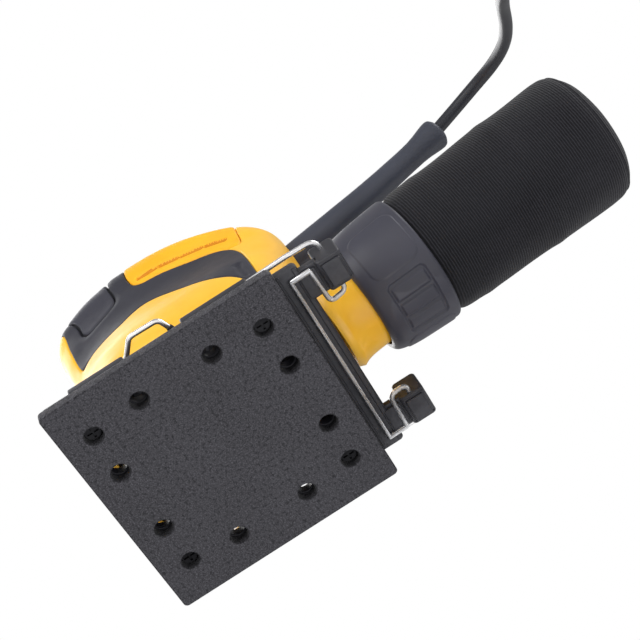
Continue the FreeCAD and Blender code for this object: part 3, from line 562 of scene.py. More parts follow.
cp = coil_points()
T0 = np.array(cp[-1])
PLUG_DIR = np.array([-0.342, -0.94, 0.0])
PLUG_DIR /= np.linalg.norm(PLUG_DIR)
T0[2] = 6.9
tail_end = T0 + PLUG_DIR * 16.5
lead_pts = ROUTE + cp[:-1] + [tuple(T0), tuple(tail_end)]
cu = bpy.data.curves.new("lead", "CURVE")
cu.dimensions = "3D"
sp = cu.splines.new("NURBS")
sp.points.add(len(lead_pts) - 1)
for p, q in zip(sp.points, lead_pts):
    p.co = (q[0] * MM, q[1] * MM, q[2] * MM, 1.0)
sp.order_u = 3
sp.use_endpoint_u = True
sp.resolution_u = 6
cu.bevel_depth = 3.1 * MM
cu.bevel_resolution = 6
cu.use_fill_caps = True
lead = bpy.data.objects.new("mains_lead", cu)
bpy.context.scene.collection.objects.link(lead)
cu.materials.append(MAT["cord"])
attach(lead, "body")
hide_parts("cord_run", "cord_coil", "cord_tail")


# ------------------------------------------------------------------ plug, pins, strap
def plug_place(p):
    f = PLUG_DIR
    s = np.array([f[1], -f[0], 0.0])
    pc = tail_end - PLUG_DIR * 3.0
    pc[2] = 6.9
    return pc + s * p[0] + f * p[1] + np.array([0, 0, 1.0]) * p[2]


def plug_shape():
    stations = [(-0.2, 4.6, 4.6, 2.2), (0.6, 5.1, 5.1, 2.3), (3.0, 5.6, 5.4, 2.5), (3.6, 5.0, 5.0, 2.5), (4.8, 5.0, 5.0, 2.5), (5.4, 5.8, 5.6, 2.5),
                (7.4, 6.0, 5.7, 2.6), (8.0, 5.5, 5.3, 2.6), (9.0, 5.6, 5.4, 2.6), (9.6, 6.6, 5.9, 2.8), (11.6, 9.2, 6.2, 3.0), (14.6, 14.0, 6.5, 3.4),
                (17.4, 16.6, 6.7, 3.8), (20.0, 17.3, 6.8, 4.0), (23.0, 16.9, 6.5, 4.2), (27.0, 16.6, 6.4, 4.2), (31.0, 17.1, 6.7, 4.4), (34.2, 17.3, 6.8, 4.6),
                (35.4, 17.0, 6.5, 4.6), (36.0, 16.0, 5.9, 4.6)]
    S = catmull(stations, 3)
    n = 72
    V, F = [], []
    for y, hw, ht, e in S:
        for j in range(n):
            a = 2 * math.pi * j / n
            c, s = math.cos(a), math.sin(a)
            r = 1 / ((abs(c) ** e + abs(s) ** e) ** (1 / e))
            V.append(plug_place((hw * r * c, y, ht * r * s)))
    m = len(S)
    for i in range(m - 1):
        for j in range(n):
            k = (j + 1) % n
            F.append((i * n + j, i * n + k, (i + 1) * n + k, (i + 1) * n + j))
    F.append(tuple(range(n - 1, -1, -1)))
    F.append(tuple((m - 1) * n + j for j in range(n)))
    return V, F


plug = build("plug_moulding", *plug_shape(), "plug", "body", "plug_plastic", ("plug_body",), sharp=50)
pins = []
sleeves = []
for s in (-1, 1):
    line = [plug_place((s * 9.5, y, 0)) for y in np.linspace(35.0, 55.0, 12)]
    P, rr = round_ends(line, 2.0, 6)
    pins.append(sweep(P, rr, 28))
    line = [plug_place((s * 9.5, y, 0)) for y in (35.6, 36.6, 42.8, 43.2)]
    sleeves.append(sweep(line, [2.25, 2.25, 2.25, 2.05], 28))
pin_ob = build("plug_pin_pair", *merge(*pins), "pin", "body", "pin_brass", ("plug_pins",))
sleeve_ob = build("plug_pin_sleeves", *merge(*sleeves), "plug", "body", "plug_plastic")


def strap_shape():
    loop = []
    n = 120
    ang = math.radians(-100.0)
    rad = np.array([math.cos(ang), math.sin(ang), 0.0])
    tan = np.array([-math.sin(ang), math.cos(ang), 0.0])
    c = np.array([CX, CY, 13.1]) + rad * 31.05
    ring = []
    for j in range(n):
        a = 2 * math.pi * j / n
        co, si = math.cos(a), math.sin(a)
        e = 4.0
        r = 1 / ((abs(co) ** e + abs(si) ** e) ** (1 / e))
        ring.append((co * r, si * r))
    V, F = [], []
    prof = [(-4.2, 0.0), (-4.5, 0.25), (-4.5, 0.65), (-4.2, 0.9), (4.2, 0.9), (4.5, 0.65), (4.5, 0.25), (4.2, 0.0)]
    for (u, v) in ring:
        for (w, t) in prof:
            V.append(c + rad * (u * (6.9 + t)) + np.array([0, 0, 1.0]) * (v * (12.2 + t)) + tan * w)
    m = len(prof)
    for j in range(n):
        k = (j + 1) % n
        for i in range(m):
            l = (i + 1) % m
            F.append((j * m + i, j * m + l, k * m + l, k * m + i))
    return V, F


strap = build("coil_strap", *strap_shape(), "strap", "body", "tie_cloth", ("cord_tie",), sharp=60)

# ------------------------------------------------------------------ sleeve at the lead's exit
boot_c = catmull([(0, 50.0, 100.8), (0, 57.0, 103.0), (0, 70.0, 107.3), (0, 92.0, 113.6), (0, 108.0, 118.4), (0, 124.0, 124.0), (0, 140.0, 130.0), (0, 149.5, 133.9), (0, 157.0, 136.8)], 16)
boot_c = resample(boot_c, 0.9)
sb = np.concatenate([[0], np.cumsum(np.linalg.norm(np.diff(boot_c, axis=0), axis=1))])
sb = sb / sb[-1]
br = np.interp(sb, [0.0, 0.10, 0.4, 0.66, 0.80, 0.86, 0.90, 0.935, 0.965, 0.985, 0.996, 1.0],
               [7.7, 7.6, 7.0, 6.3, 6.1, 6.2, 6.6, 7.2, 7.7, 7.8, 7.45, 6.6])
outer_v, outer_f = sweep(boot_c, br, 48, caps=False)
# mouth: turned-in lip and a funnel towards the lead
m_ = len(boot_c)
lip_c = [boot_c[-1] + (boot_c[-2] - boot_c[-1]) * k for k in (0.0, 0.25, 2.2, 9.0)]
lip_r = [5.6, 4.4, 3.4, 3.15]
T_, U_, W_ = frames(boot_c)
aa = np.linspace(0, 2 * np.pi, 48, endpoint=False)
V_b, F_b = list(outer_v), list(outer_f)
base = (m_ - 1) * 48
prev = base
for c_, r_ in zip(lip_c, lip_r):
    o = len(V_b)
    for a in aa:
        V_b.append(c_ + r_ * (math.cos(a) * U_[-1] + math.sin(a) * W_[-1]))
    for j in range(48):
        k = (j + 1) % 48
        F_b.append((prev + j, prev + k, o + k, o + j))
    prev = o
F_b.append(tuple(prev + j for j in range(48)))
F_b.append(tuple(range(47, -1, -1)))
boot = build("lead_sleeve_skin", V_b, F_b, "boot", "body", "cord_rubber", ("cord_sleeve",), sharp=60)

# ------------------------------------------------------------------ head
HEAD = np.array([
    (22.0, 41.4, -46.0, 57.5, 8.0, 6.0), (27.0, 41.4, -46.0, 58.0, 8.0, 6.0), (32.0, 41.3, -45.8, 58.8, 7.0, 5.4),
    (38.0, 41.0, -45.0, 60.0, 5.0, 4.4), (46.0, 40.8, -44.6, 61.6, 3.9, 3.8), (58.0, 39.5, -44.8, 63.0, 3.5, 3.6),
    (66.0, 37.6, -44.8, 63.7, 3.3, 3.8), (74.0, 35.3, -44.6, 64.3, 3.2, 4.0), (85.0, 32.7, -45.8, 65.8, 3.0, 4.2),
    (94.0, 31.6, -49.0, 65.8, 2.9, 4.2), (103.0, 31.7, -52.0, 64.9, 2.9, 4.2), (112.0, 31.8, -53.6, 60.8, 2.9, 4.0),
    (121.0, 32.7, -54.6, 52.1, 2.8, 3.2), (128.0, 31.4, -50.8, 43.3, 2.6, 2.8), (134.0, 27.6, -43.0, 34.2, 2.5, 2.5),
    (138.0, 22.5, -34.2, 24.7, 2.4, 2.4), (140.8, 15.8, -24.2, 13.7, 2.2, 2.2), (142.0, 8.2, -14.1, 3.6, 2.0, 2.0)])


def head_rows(n):
    dense = catmull(HEAD, 40)
    key = dense[:, [0, 1, 2]] * np.array([1.0, 0.8, 0.8])
    d = np.concatenate([[0], np.cumsum(np.linalg.norm(np.diff(key, axis=0), axis=1))])
    s = np.linspace(0, d[-1], n)
    rows = np.stack([np.interp(s, d, dense[:, k]) for k in range(6)], 1)
    cap = []
    for q in np.linspace(0.9, 0.05, 10):
        z, a, yf, yr, nf, nr = HEAD[-1]
        yc, L = (yf + yr) / 2, (yr - yf) / 2
        cap.append((142.0 + 0.25 * (1 - q * q), a * q, yc - L * q, yc + L * q, 2.0, 2.0))
    return np.vstack([rows, np.array(cap)])


def section(z, a, yf, yr, nf, nr, n):
    th = np.linspace(-np.pi / 2, np.pi / 2, 900)
    c, s = np.cos(th), np.sin(th)
    e = np.where(s > 0, nr, nf)
    r = 1.0 / (np.abs(c) ** e + np.abs(s) ** e) ** (1.0 / e)
    P = np.stack([a * r * c, (yf + yr) / 2 + (yr - yf) / 2 * r * s], 1)
    h = resample(P, n=n // 2 + 1)
    h[0, 0] = h[-1, 0] = 0.0
    full = np.vstack([h, np.stack([-h[::-1][1:-1, 0], h[::-1][1:-1, 1]], 1)])
    return np.column_stack([full, np.full(len(full), z)])


def head_surface(rows, cols):
    R = head_rows(rows)
    G = np.array([section(*r, cols) for r in R])
    du = np.gradient(G, axis=0)
    dv = (np.roll(G, -1, 1) - np.roll(G, 1, 1)) / 2
    N = np.cross(dv, du)
    N /= np.maximum(np.linalg.norm(N, axis=2), 1e-9)[:, :, None]
    N[-1] = (0, 0, 1)
    r, c = G.shape[:2]
    V = G.reshape(-1, 3)
    NN = N.reshape(-1, 3)
    F = []
    for i in range(r - 1):
        for j in range(c):
            k = (j + 1) % c
            F.append((i * c + j, i * c + k, (i + 1) * c + k, (i + 1) * c + j))
    V = np.vstack([V, [[0.0, -5.25, 142.25]]])
    NN = np.vstack([NN, [[0, 0, 1.0]]])
    top = len(V) - 1
    for j in range(c):
        F.append(((r - 1) * c + j, (r - 1) * c + (j + 1) % c, top))
    return V, NN, F


def signed(poly, Y, Z):
    """Distance to a closed outline in the YZ plane, positive inside."""
    P = np.array(poly, float)
    A, B = P, np.roll(P, -1, 0)
    best = np.full(len(Y), 1e9)
    inside = np.zeros(len(Y), bool)
    for (ay, az), (by, bz) in zip(A, B):
        dy, dz = by - ay, bz - az
        L = dy * dy + dz * dz
        if L < 1e-12:
            continue
        t = np.clip(((Y - ay) * dy + (Z - az) * dz) / L, 0, 1)
        best = np.minimum(best, np.hypot(Y - ay - t * dy, Z - az - t * dz))
        c = (az > Z) != (bz > Z)
        if abs(dz) > 1e-12:
            xi = ay + (Z - az) * dy / dz
            inside ^= c & (Y < xi)
    return np.where(inside, best, -best)


def smooth_outline(curve, closing):
    return [tuple(p) for p in catmull(curve, 8)] + list(closing)


ARCH = smooth_outline([(-5.2, 160.0), (-5.4, 126.0), (-5.0, 116.0), (-3.1, 110.0), (1.0, 107.0), (6.0, 106.2),
                       (11.0, 105.0), (17.0, 102.7), (25.0, 99.3), (35.0, 95.6), (40.0, 92.4), (44.2, 87.4),
                       (46.7, 80.0), (47.9, 70.0), (48.5, 60.0), (48.9, 50.0), (49.3, 40.0), (49.5, 15.0)], [(95.0, 15.0), (95.0, 160.0)])
LOW = smooth_outline([(-95.0, 122.5), (-60.0, 122.5), (-46.2, 122.0), (-44.6, 106.4), (-43.6, 92.0), (-42.0, 88.4),
                      (-35.0, 83.0), (-26.0, 79.8), (-16.0, 81.2), (-10.0, 84.4), (-3.0, 86.4), (4.0, 84.6),
                      (12.0, 78.6), (22.0, 68.6), (30.0, 60.0), (39.0, 50.4), (43.5, 42.0), (45.0, 34.0), (45.4, 15.0)], [(-95.0, 15.0)])
ROCK = smooth_outline([(-15.5, 160.0), (-14.8, 122.0), (-13.8, 111.6), (-14.4, 107.2), (-17.0, 104.2), (-24.2, 101.2),
                       (-32.6, 100.6), (-35.8, 104.6), (-36.9, 113.0), (-39.5, 120.0), (-45.5, 126.5), (-60.0, 128.4), (-95.0, 130.0)], [(-95.0, 160.0)])
PALM = [(-30.0, 160.0), (-30.0, 90.0), (48.0, 90.0), (49.4, 92.0), (49.8, 96.0), (50.2, 112.0), (50.8, 160.0)]


def split(V, N, F, W, iso):
    cache = {}
    out = []
    for f in F:
        s = [W[i] - iso for i in f]
        if min(s) >= -1e-6 or max(s) <= 1e-6:
            out.append(f)
            continue
        A, B = [], []
        n = len(f)
        for k in range(n):
            i, j = f[k], f[(k + 1) % n]
            a, b = s[k], s[(k + 1) % n]
            if a >= -1e-6:
                A.append(i)
            if a <= 1e-6:
                B.append(i)
            if (a > 1e-6 and b < -1e-6) or (a < -1e-6 and b > 1e-6):
                key = (i, j) if i < j else (j, i)
                m = cache.get(key)
                if m is None:
                    t = a / (a - b)
                    V.append(V[i] + (V[j] - V[i]) * t)
                    q = N[i] + (N[j] - N[i]) * t
                    N.append(q / np.linalg.norm(q))
                    W.append(iso)
                    m = cache[key] = len(V) - 1
                A.append(m)
                B.append(m)
        if len(A) >= 3:
            out.append(tuple(A))
        if len(B) >= 3:
            out.append(tuple(B))
    return out


def panel(surface, field, edge_r=0.8, thick=2.2, relief=None, gap=0.12):
    """A moulded panel cut from the head's surface where field > 0, with rolled edges and an inner face."""
    V0, N0, F0 = surface
    W0 = field(V0) - gap
    keep = [f for f in F0 if max(W0[i] for i in f) > 0]
    used = sorted({i for f in keep for i in f})
    idx = {i: k for k, i in enumerate(used)}
    V = [V0[i] for i in used]
    N = [N0[i] for i in used]
    W = [float(W0[i]) for i in used]
    F = [tuple(idx[i] for i in f) for f in keep]
    for iso in (0.0, 0.07 * edge_r, 0.22 * edge_r, 0.5 * edge_r, edge_r):
        F = split(V, N, F, W, iso)
        if iso == 0.0:
            F = [f for f in F if sum(W[i] for i in f) / len(f) > 0]
    V, N, W = np.array(V), np.array(N), np.array(W)
    w = np.clip(W, 0, edge_r)
    depth = edge_r - np.sqrt(np.maximum(edge_r**2 - (edge_r - w) ** 2, 0))
    if relief is not None:
        depth = depth + relief(V, W)
    P = V - N * depth[:, None]
    Q = V - N * thick
    used = sorted({i for f in F for i in f})
    idx = {i: k for k, i in enumerate(used)}
    P, Q = P[used], Q[used]
    F = [tuple(idx[i] for i in f) for f in F]
    m = len(P)
    edge = {}
    for f in F:
        for a, b in zip(f, f[1:] + f[:1]):
            edge[(a, b)] = edge.get((a, b), 0) + 1
    rim = [(a, b) for (a, b) in edge if (b, a) not in edge]
    G = list(F) + [tuple(i + m for i in reversed(f)) for f in F]
    for a, b in rim:
        G.append((b, a, a + m, b + m))
    return list(P) + list(Q), G


COARSE = 0
surf = head_surface(*((210, 340) if not COARSE else (130, 200)))
fine = head_surface(*((330, 560) if not COARSE else (150, 240)))
dA = lambda P: signed(ARCH, P[:, 1], P[:, 2])
dL = lambda P: signed(LOW, P[:, 1], P[:, 2])
dR = lambda P: signed(ROCK, P[:, 1], P[:, 2])
dP = lambda P: signed(PALM, P[:, 1], P[:, 2])

LOZENGES = [((0.5, 112.0), (9.0, 111.6)), ((12.0, 111.0), (20.0, 108.6)), ((23.0, 107.6), (32.0, 104.6)), ((35.0, 103.4), (43.0, 100.4))]


def seg_dist(Y, Z, a, b):
    dy, dz = b[0] - a[0], b[1] - a[1]
    t = np.clip(((Y - a[0]) * dy + (Z - a[1]) * dz) / (dy * dy + dz * dz), 0, 1)
    return np.hypot(Y - a[0] - t * dy, Z - a[1] - t * dz)


def palm_relief(V, W):
    d = np.full(len(V), -0.35)
    d += 0.35 * np.clip(1 - W / 1.6, 0, 1)
    for a, b in LOZENGES:
        q = seg_dist(V[:, 1], V[:, 2], a, b)
        side = np.abs(V[:, 0]) > 14
        t = np.clip((1.75 - q) / 0.65, 0, 1)
        d += np.where(side, 1.0 * t * t * (3 - 2 * t), 0)
    return d


def rocker_relief(V, W):
    t = np.clip(W / 5.0, 0, 1)
    return 0.55 + 0.25 * t * t * (3 - 2 * t)


def dark_relief(V, W):
    # shallow moat round the rocker, and a soft slot at the rear of the hand opening
    r = signed(ROCK, V[:, 1], V[:, 2])
    t = np.clip((3.2 + r) / 3.0, 0, 1)
    d = 0.45 * t * t * (3 - 2 * t)
    q = seg_dist(V[:, 1], V[:, 2], (44.0, 47.0), (43.0, 62.0))
    s = np.clip((1.9 - q) / 0.9, 0, 1)
    return d + 1.1 * s * s * (3 - 2 * s)


build("grip_surround_skin", *panel(surf, lambda P: np.minimum(np.minimum(-dA(P), -dL(P)), -dR(P)), 0.7, 2.3, dark_relief, 0.10), "dark", "body", "dark_overmould", ("grip_surround",), sharp=60)
build("housing_right_skin", *panel(surf, lambda P: np.minimum(dL(P), P[:, 0] + 0.0), 0.8, 2.4, None, 0.06), "yellow", "body", "yellow_shell", ("housing_right",), sharp=60)
build("housing_left_skin", *panel(surf, lambda P: np.minimum(dL(P), -P[:, 0]), 0.8, 2.4, None, 0.06), "yellow", "body", "yellow_shell", ("housing_left",), sharp=60)
build("rear_shell_skin", *panel(surf, lambda P: np.minimum(dA(P), -dP(P)), 0.8, 2.3, None, 0.10), "yellow", "body", "yellow_shell", ("rear_shell",), sharp=60)
palm_skin = build("palm_pad_skin", *panel(fine, lambda P: np.minimum(dA(P), dP(P)), 0.9, 2.2, palm_relief, 0.14), "palm", "body", "palm_rubber", ("palm_pad",), sharp=60)
# faces inside the lozenge slots get the darker palm colour: painted shade in the grooves
palm_skin.data.materials.append(MAT["palm_slot_painted_shade"])
for pl in palm_skin.data.polygons:
    cx, cy, cz = (c / MM for c in pl.center)
    if abs(cx) > 14 and min(float(seg_dist(cy, cz, a, b)) for a, b in LOZENGES) < 1.5:
        pl.material_index = 1
build("switch_rocker_skin", *panel(fine, lambda P: dR(P) - 0.95, 1.1, 2.2, rocker_relief, 0.0), "rocker", "rocker", "rocker_rubber", ("switch_rocker",), sharp=60)
# rebate behind the gap round the rocker
build("rocker_rebate", *panel(surf, lambda P: 3.0 - np.abs(dR(P)), 0.2, 3.6, lambda V, W: np.full(len(V), 2.5), 0.0), "seal", "body", "dark_overmould", sharp=60)

# ------------------------------------------------------------------ dust outlet
prof = [(-17.0, 19.4), (-17.0, 22.6)] + [(s, 22.0 + 1.9 * math.exp(-(s + 14.0) / 3.2)) for s in np.linspace(-14.0, 6.0, 16)]
prof += [(15.0, 22.0), (16.4, 21.4), (16.4, 19.4)]
build("dust_outlet_skin", *lathe(prof, on_axis(79.0), 160), "yellow", "body", "yellow_shell", ("dust_outlet",), sharp=50)

# ------------------------------------------------------------------ bag collar
COL_L = 32.6


def collar_profile():
    outer = catmull([(0.0, 24.4), (0.25, 25.2), (1.4, 26.6), (3.4, 27.6), (6.0, 28.3), (12.0, 29.2), (20.0, 29.8), (29.5, 30.35), (31.4, 30.3), (32.3, 29.8), (32.6, 29.2)], 10)
    outer = resample(outer, 0.28)
    inner = [(32.6, 27.4), (31.0, 27.0), (8.0, 25.6), (7.6, 23.3), (0.3, 23.2), (0.0, 23.6)]
    return [tuple(p) for p in outer], inner


def box_field(s, a, s0, s1, a0, a1, r, R=29.0):
    """Signed distance inside a rounded rectangle on the collar; a in degrees."""
    cs, ca = (s0 + s1) / 2, (a0 + a1) / 2
    da = (a - ca + 180) % 360 - 180
    x, y = abs(s - cs) - ((s1 - s0) / 2 - r), abs(math.radians(da)) * R - (math.radians(a1 - a0) / 2 * R - r)
    out = math.hypot(max(x, 0), max(y, 0)) + min(max(x, y), 0) - r
    return -out, da


outer_p, inner_p = collar_profile()
n_out = len(outer_p)


def collar_relief(s, a, r, i):
    if i >= n_out:
        return 0.0
    deg = math.degrees(a)
    d = 0.0
    for c in (-90.0, 90.0):
        f, da = box_field(s, deg, 8.2, 27.2, c - 27.0, c + 27.0, 2.6)
        if f > -0.6:
            d -= 0.95 * smooth_step(f, -0.3, 0.6)
            if f > 1.0:
                for q in (-16.0, 0.0, 16.0):
                    x = abs(da - q)
                    d += 0.62 * (1 - smooth_step(x, 5.2, 6.6)) * smooth_step(f, 1.0, 1.9)
    for c in (-32.0, 212.0):
        f, da = box_field(s, deg, 6.0, 29.2, c - 25.0, c + 25.0, 5.0)
        d += 0.42 * smooth_step(f, -0.25, 0.45)
    d += 0.0
    return d


build("bag_collar_skin", *lathe(outer_p + inner_p, on_axis(79.0), 420 if not COARSE else 200, collar_relief), "collar", "dust_bag_unit", "dark_plastic", ("bag_collar",), sharp=50)


# ------------------------------------------------------------------ dust bag
def bag_profile():
    P = catmull([(23.6, 27.2), (26.0, 28.9), (29.0, 29.7), (36.0, 30.1), (60.0, 31.0), (85.0, 31.7), (102.5, 32.2), (108.8, 32.0), (113.4, 31.0),
                 (116.8, 28.8), (119.2, 25.4), (120.4, 20.4), (120.8, 12.0), (121.0, 4.0), (121.0, 0.6)], 10)
    return [tuple(p) for p in resample(P, 1.1)]


def bag_relief(s, a, r, i):
    k = smooth_step(r, 0.0, 20.0)
    d = 0.0
    # cloth drawn in between the hoops, with soft diagonal drags from the collar
    for h in (40.0, 78.0, 113.0):
        d += 0.22 * math.exp(-((s - h) / 3.2) ** 2)
    d -= 0.34 * math.sin(math.pi * min(1, max(0, (s - 40.0) / 38.0))) if 40 < s < 78 else 0.0
    d -= 0.30 * math.sin(math.pi * min(1, max(0, (s - 78.0) / 35.0))) if 78 < s < 113 else 0.0
    d += 0.16 * math.sin(5 * a + 0.09 * s + 0.7) * math.sin(0.07 * s + 1.3) + 0.10 * math.sin(9 * a - 0.13 * s)
    d += 0.10 * math.sin(14 * a + 0.3) * math.exp(-abs(s - 26.0) / 7.0)
    # seam along the underside, away from the hand
    x = abs((math.degrees(a) - 118.0 + 180) % 360 - 180)
    d += 0.35 * math.exp(-(x / 1.6) ** 2)
    return d * k


bp = bag_profile()
bv, bf = lathe(bp, on_axis(88.0), 260 if not COARSE else 140, bag_relief, closed=False)
n_ = 260 if not COARSE else 140
bv = list(bv) + [on_axis(88.0) + AX * 121.0]
bf = bf + [((len(bp) - 1) * n_ + j, (len(bp) - 1) * n_ + (j + 1) % n_, len(bv) - 1) for j in range(n_)]
bag = build("dust_bag_cloth", bv, bf, "bag", "dust_bag_unit", "bag_cloth", ("dust_bag",), sharp=80)
sol = bag.modifiers.new("cloth_thickness", "SOLIDIFY")
sol.thickness = 0.9 * MM
sol.offset = -1.0
# overlocked seam round the closed end
seam = []
for j in range(0, 361):
    a = 2 * math.pi * j / 360
    s = 115.2
    q = 29.9 + bag_relief(s, a, 30, 0)
    seam.append(on_axis(88.0) + AX * s + (SD * math.cos(a) + UP * math.sin(a)) * q)
sv, sf = sweep(seam, 0.55, 10, caps=False)
build("dust_bag_seam", sv, sf, "bag", "dust_bag_unit", "bag_cloth", sharp=80)


# ------------------------------------------------------------------ foam pad
dust = [(sx * 40.5, sy * 17.0) for sx in (-1, 1) for sy in (-1, 1)] + [(sx * 17.0, sy * 40.5) for sx in (-1, 1) for sy in (-1, 1)]
screw = [(sx * 38.0, sy * 40.0) for sx in (-1, 1) for sy in (-1, 1)]
pad = flat_plate([rrect(-57.5, -54.0, 57.5, 54.0, 2.0)] + [circle(x, y, 4.0, 56) for x, y in dust + screw], 0.0, 4.9, 0.45, res=4)
pad_ob = build("foam_pad_skin", *pad, "foam", "platen", "foam", ("foam_pad",), sharp=45)
backing = flat_plate([rrect(-57.1, -53.6, 57.1, 53.6, 1.8)] + [circle(x, y, 4.0, 56) for x, y in dust + screw], 4.9, 5.5, 0.15, res=2)
build("foam_pad_backing", *backing, "black", "platen", "foam", sharp=45)


# ------------------------------------------------------------------ platen
def box3(x0, y0, z0, x1, y1, z1, r, bevel, res=3):
    return flat_plate([rrect(x0, y0, x1, y1, r)], z0, z1, bevel, res=res)


def lug(x0, x1, y0, y1, z0, z1, r, bevel):
    """Block extruded along X with rounded corners in side view."""
    return flat_plate([rrect(y0, z0, y1, z1, r)], x0, x1, bevel, along_x)


parts = [flat_plate([rrect(-55.0, -53.0, 55.0, 53.5, 2.0)] + [circle(x, y, 3.4, 40) for x, y in dust], 5.5, 10.0, 0.4)]
parts.append(flat_plate([rrect(-50.0, 50.0, 50.0, 64.0, 2.0)], 8.6, 12.4, 0.45))
# rails along the clamp strip
parts.append(box3(-49.0, 61.4, 7.9, 49.0, 63.4, 9.0, 0.8, 0.3))
parts.append(box3(-49.0, 53.9, 7.6, 49.0, 55.3, 9.0, 0.6, 0.3))
for s in (-1, 1):
    x0, x1 = sorted((s * 52.4, s * 55.0))
    parts.append(box3(x0, 13.0, 9.0, x1, 44.0, 13.2, 0.9, 0.4))
    parts.append(box3(x0, -40.0, 9.0, x1, -14.0, 13.2, 0.9, 0.4))
    # rear arm and lug
    x0, x1 = sorted((s * 31.2, s * 46.2))
    parts.append(box3(x0, 60.0, 9.2, x1, 73.0, 12.4, 1.0, 0.5))
    parts.append(box3(x0 + 1.4, 62.0, 7.6, x1 - 1.4, 70.0, 9.0, 1.0, 0.4))
    parts.append(lug(x0, x1, 70.6, 82.0, 6.6, 20.4, 2.0, 0.9))
    xp, xq = sorted((s * 33.2, s * 44.4))
    parts.append(box3(xp, 72.2, 5.4, xq, 80.6, 7.6, 1.0, 0.5, 4))
    parts.append(box3(xp - 0.9 , 71.6, 6.3, xp - 0.2, 81.4, 7.0, 0.3, 0.15))
    parts.append(box3(xq + 0.2, 71.6, 6.3, xq + 0.9, 81.4, 7.0, 0.3, 0.15))
    # front lug
    xa, xb = sorted((s * 36.0, s * 44.0))
    parts.append(lug(xa, xb, -45.2, -36.8, 9.0, 21.6, 1.8, 0.6))
hub = []
for k, (z, r) in enumerate([(9.0, 18.6), (10.0, 18.6), (10.8, 17.6), (12.0, 17.0), (20.2, 17.0), (21.0, 16.2), (21.0, 14.2), (20.4, 14.0), (12.0, 14.0), (12.0, 3.0), (9.0, 3.0)]):
    for j in range(90):
        a = 2 * math.pi * j / 90
        hub.append((r * math.cos(a), r * math.sin(a), z))
hf = [(i * 90 + j, i * 90 + (j + 1) % 90, ((i + 1) % 11) * 90 + (j + 1) % 90, ((i + 1) % 11) * 90 + j) for i in range(11) for j in range(90)]
parts.append((hub, hf))
# stiffening ribs on top of the plate
for k in range(8):
    a = math.radians(45 * k + 22.5)
    L = 46.0
    c_, s_ = math.cos(a), math.sin(a)
    w_, f_ = box3(17.0, -0.9, 9.6, L, 0.9, 12.6, 0.6, 0.25)
    parts.append(([(x * c_ - y * s_, x * s_ + y * c_, z) for x, y, z in w_], f_))
build("platen_moulding", *merge(*parts), "black", "platen", "black_plastic", ("platen",), sharp=45, weld=False)


# ------------------------------------------------------------------ clamp wires
def wire_part(pts, radii, r=1.15, n=22):
    P = bent(pts, radii)
    P, rr = round_ends(P, r)
    return sweep(P, rr, n)


def wires(name, parts_, body, node):
    return build(name, *merge(*parts_), "chrome", body, "chrome_wire", (node,), sharp=50, weld=False)


# the hairpin at each end is a half turn of 4.45 mm radius
hair = [(46.0 + 4.45 * math.cos(math.radians(t)), 63.05 + 4.45 * math.sin(math.radians(t)), 7.3) for t in range(80, -81, -20)]
rb = [(45.9, 76, 9.2), (27.6, 76, 9.2), (27.0, 68.2, 7.9), (44.6, 67.5, 7.4)] + hair + [(44.6, 58.6, 7.2)]
rb_full = rb + [(-x, y, z) for x, y, z in reversed(rb)]
rad = [2.6, 2.6, 2.6] + [2.6] * len(hair) + [2.6]
wires("rear_bar_wire", [wire_part(rb_full, rad + rad[::-1])], "rear_bar", "rear_clamp_bar")
rl = wire_part([(32.0, 76, 16.4), (50.6, 76, 16.4), (51.0, 62.0, 16.5), (50.0, 22.0, 16.4)], [4.2, 60.0])
wires("rear_lever_wire", [rl, mirrored(rl)], "rear_lever_arms", "rear_lever")
fb = [(42.6, -41, 13.4), (30.4, -41, 13.4), (29.6, -50.2, 10.6)]
fb_full = fb + [(-x, y, z) for x, y, z in reversed(fb)]
wires("front_bar_wire", [wire_part(fb_full, [2.6, 2.6, 2.6, 2.6])], "front_bar", "front_clamp_bar")
fl = wire_part([(36.8, -41, 18.4), (50.0, -41, 18.4), (50.0, -14.0, 17.0), (58.4, -7.6, 16.4), (58.0, 5.6, 16.6), (51.0, 8.6, 15.6)], [4.0, 4.0, 3.2, 3.0])
wires("front_lever_wire", [fl, mirrored(fl)], "front_lever_arms", "front_lever")
# dipped rubber tips on the finger loops
tip = wire_part([(53.4, 7.57, 15.94), (51.6, 8.34, 15.69), (50.6, 8.77, 15.54)], [6.0], 1.5, 20)
tips = build("front_lever_tips", *merge(tip, mirrored(tip)), "seal", "front_lever_arms", "seal_rubber", sharp=60, weld=False)

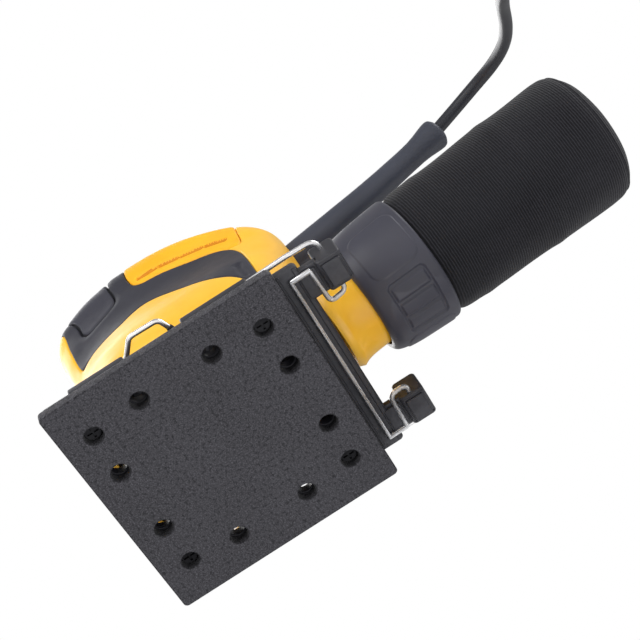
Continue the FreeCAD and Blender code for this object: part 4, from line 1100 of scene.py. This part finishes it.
# ------------------------------------------------------------------ stage: floor, world, lights
bpy.ops.mesh.primitive_plane_add(size=6.0, location=(0.05, 0.09, 0.0))
floor = bpy.context.object
floor.name = "floor"
fm = bpy.data.materials.new("pale_floor")
fm.use_nodes = True
nt = fm.node_tree
bs = next(n for n in nt.nodes if n.type == "BSDF_PRINCIPLED")
outn = next(n for n in nt.nodes if n.type == "OUTPUT_MATERIAL")
tc = nt.nodes.new("ShaderNodeTexCoord")
nz = noise_tex(nt, tc.outputs["Object"], 6.0, 4.0, 0.6)
nt.links.new(ramp(nt, nz, [(0.3, (0.80, 0.80, 0.80, 1)), (0.7, (0.84, 0.84, 0.84, 1))]), bs.inputs["Base Color"])
bs.inputs["Roughness"].default_value = 0.7
geo = nt.nodes.new("ShaderNodeNewGeometry")
tr = nt.nodes.new("ShaderNodeBsdfTransparent")
mx = nt.nodes.new("ShaderNodeMixShader")
nt.links.new(geo.outputs["Backfacing"], mx.inputs[0])
nt.links.new(bs.outputs[0], mx.inputs[1])
nt.links.new(tr.outputs[0], mx.inputs[2])
nt.links.new(mx.outputs[0], outn.inputs["Surface"])
floor.data.materials.append(fm)
floor.visible_shadow = False

world = bpy.data.worlds.new("studio")
bpy.context.scene.world = world
world.use_nodes = True
wn = world.node_tree
bg = next(n for n in wn.nodes if n.type == "BACKGROUND")
wo = next(n for n in wn.nodes if n.type == "OUTPUT_WORLD")
bg.inputs[0].default_value = (1, 1, 1, 1)
bg.inputs[1].default_value = 0.42
bg2 = wn.nodes.new("ShaderNodeBackground")
bg2.inputs[0].default_value = (1, 1, 1, 1)
bg2.inputs[1].default_value = 1.0
lp = wn.nodes.new("ShaderNodeLightPath")
wm = wn.nodes.new("ShaderNodeMixShader")
wn.links.new(lp.outputs["Is Camera Ray"], wm.inputs[0])
wn.links.new(bg.outputs[0], wm.inputs[1])
wn.links.new(bg2.outputs[0], wm.inputs[2])
wn.links.new(wm.outputs[0], wo.inputs["Surface"])


def area(name, at, to, size, power, color=(1, 1, 1)):
    L = bpy.data.lights.new(name, "AREA")
    L.shape = "SQUARE"
    L.size = size
    L.energy = power
    L.color = color
    o = bpy.data.objects.new(name, L)
    bpy.context.scene.collection.objects.link(o)
    o.location = at
    d = Vector(to) - Vector(at)
    o.rotation_mode = "QUATERNION"
    o.rotation_quaternion = d.to_track_quat("-Z", "Y")
    o.visible_camera = False
    return o


area("key_side", (0.95, -0.35, -0.10), (0.0, 0.03, 0.06), 0.8, 7.0)
area("fill_below", (0.10, 0.20, -1.05), (0.0, 0.03, 0.05), 1.0, 7.6)
area("soft_top", (-0.35, -0.45, 1.15), (0.0, 0.05, 0.05), 1.1, 12.5)
area("rim_rear", (0.30, 0.95, 0.55), (0.0, 0.08, 0.08), 0.7, 6.0)
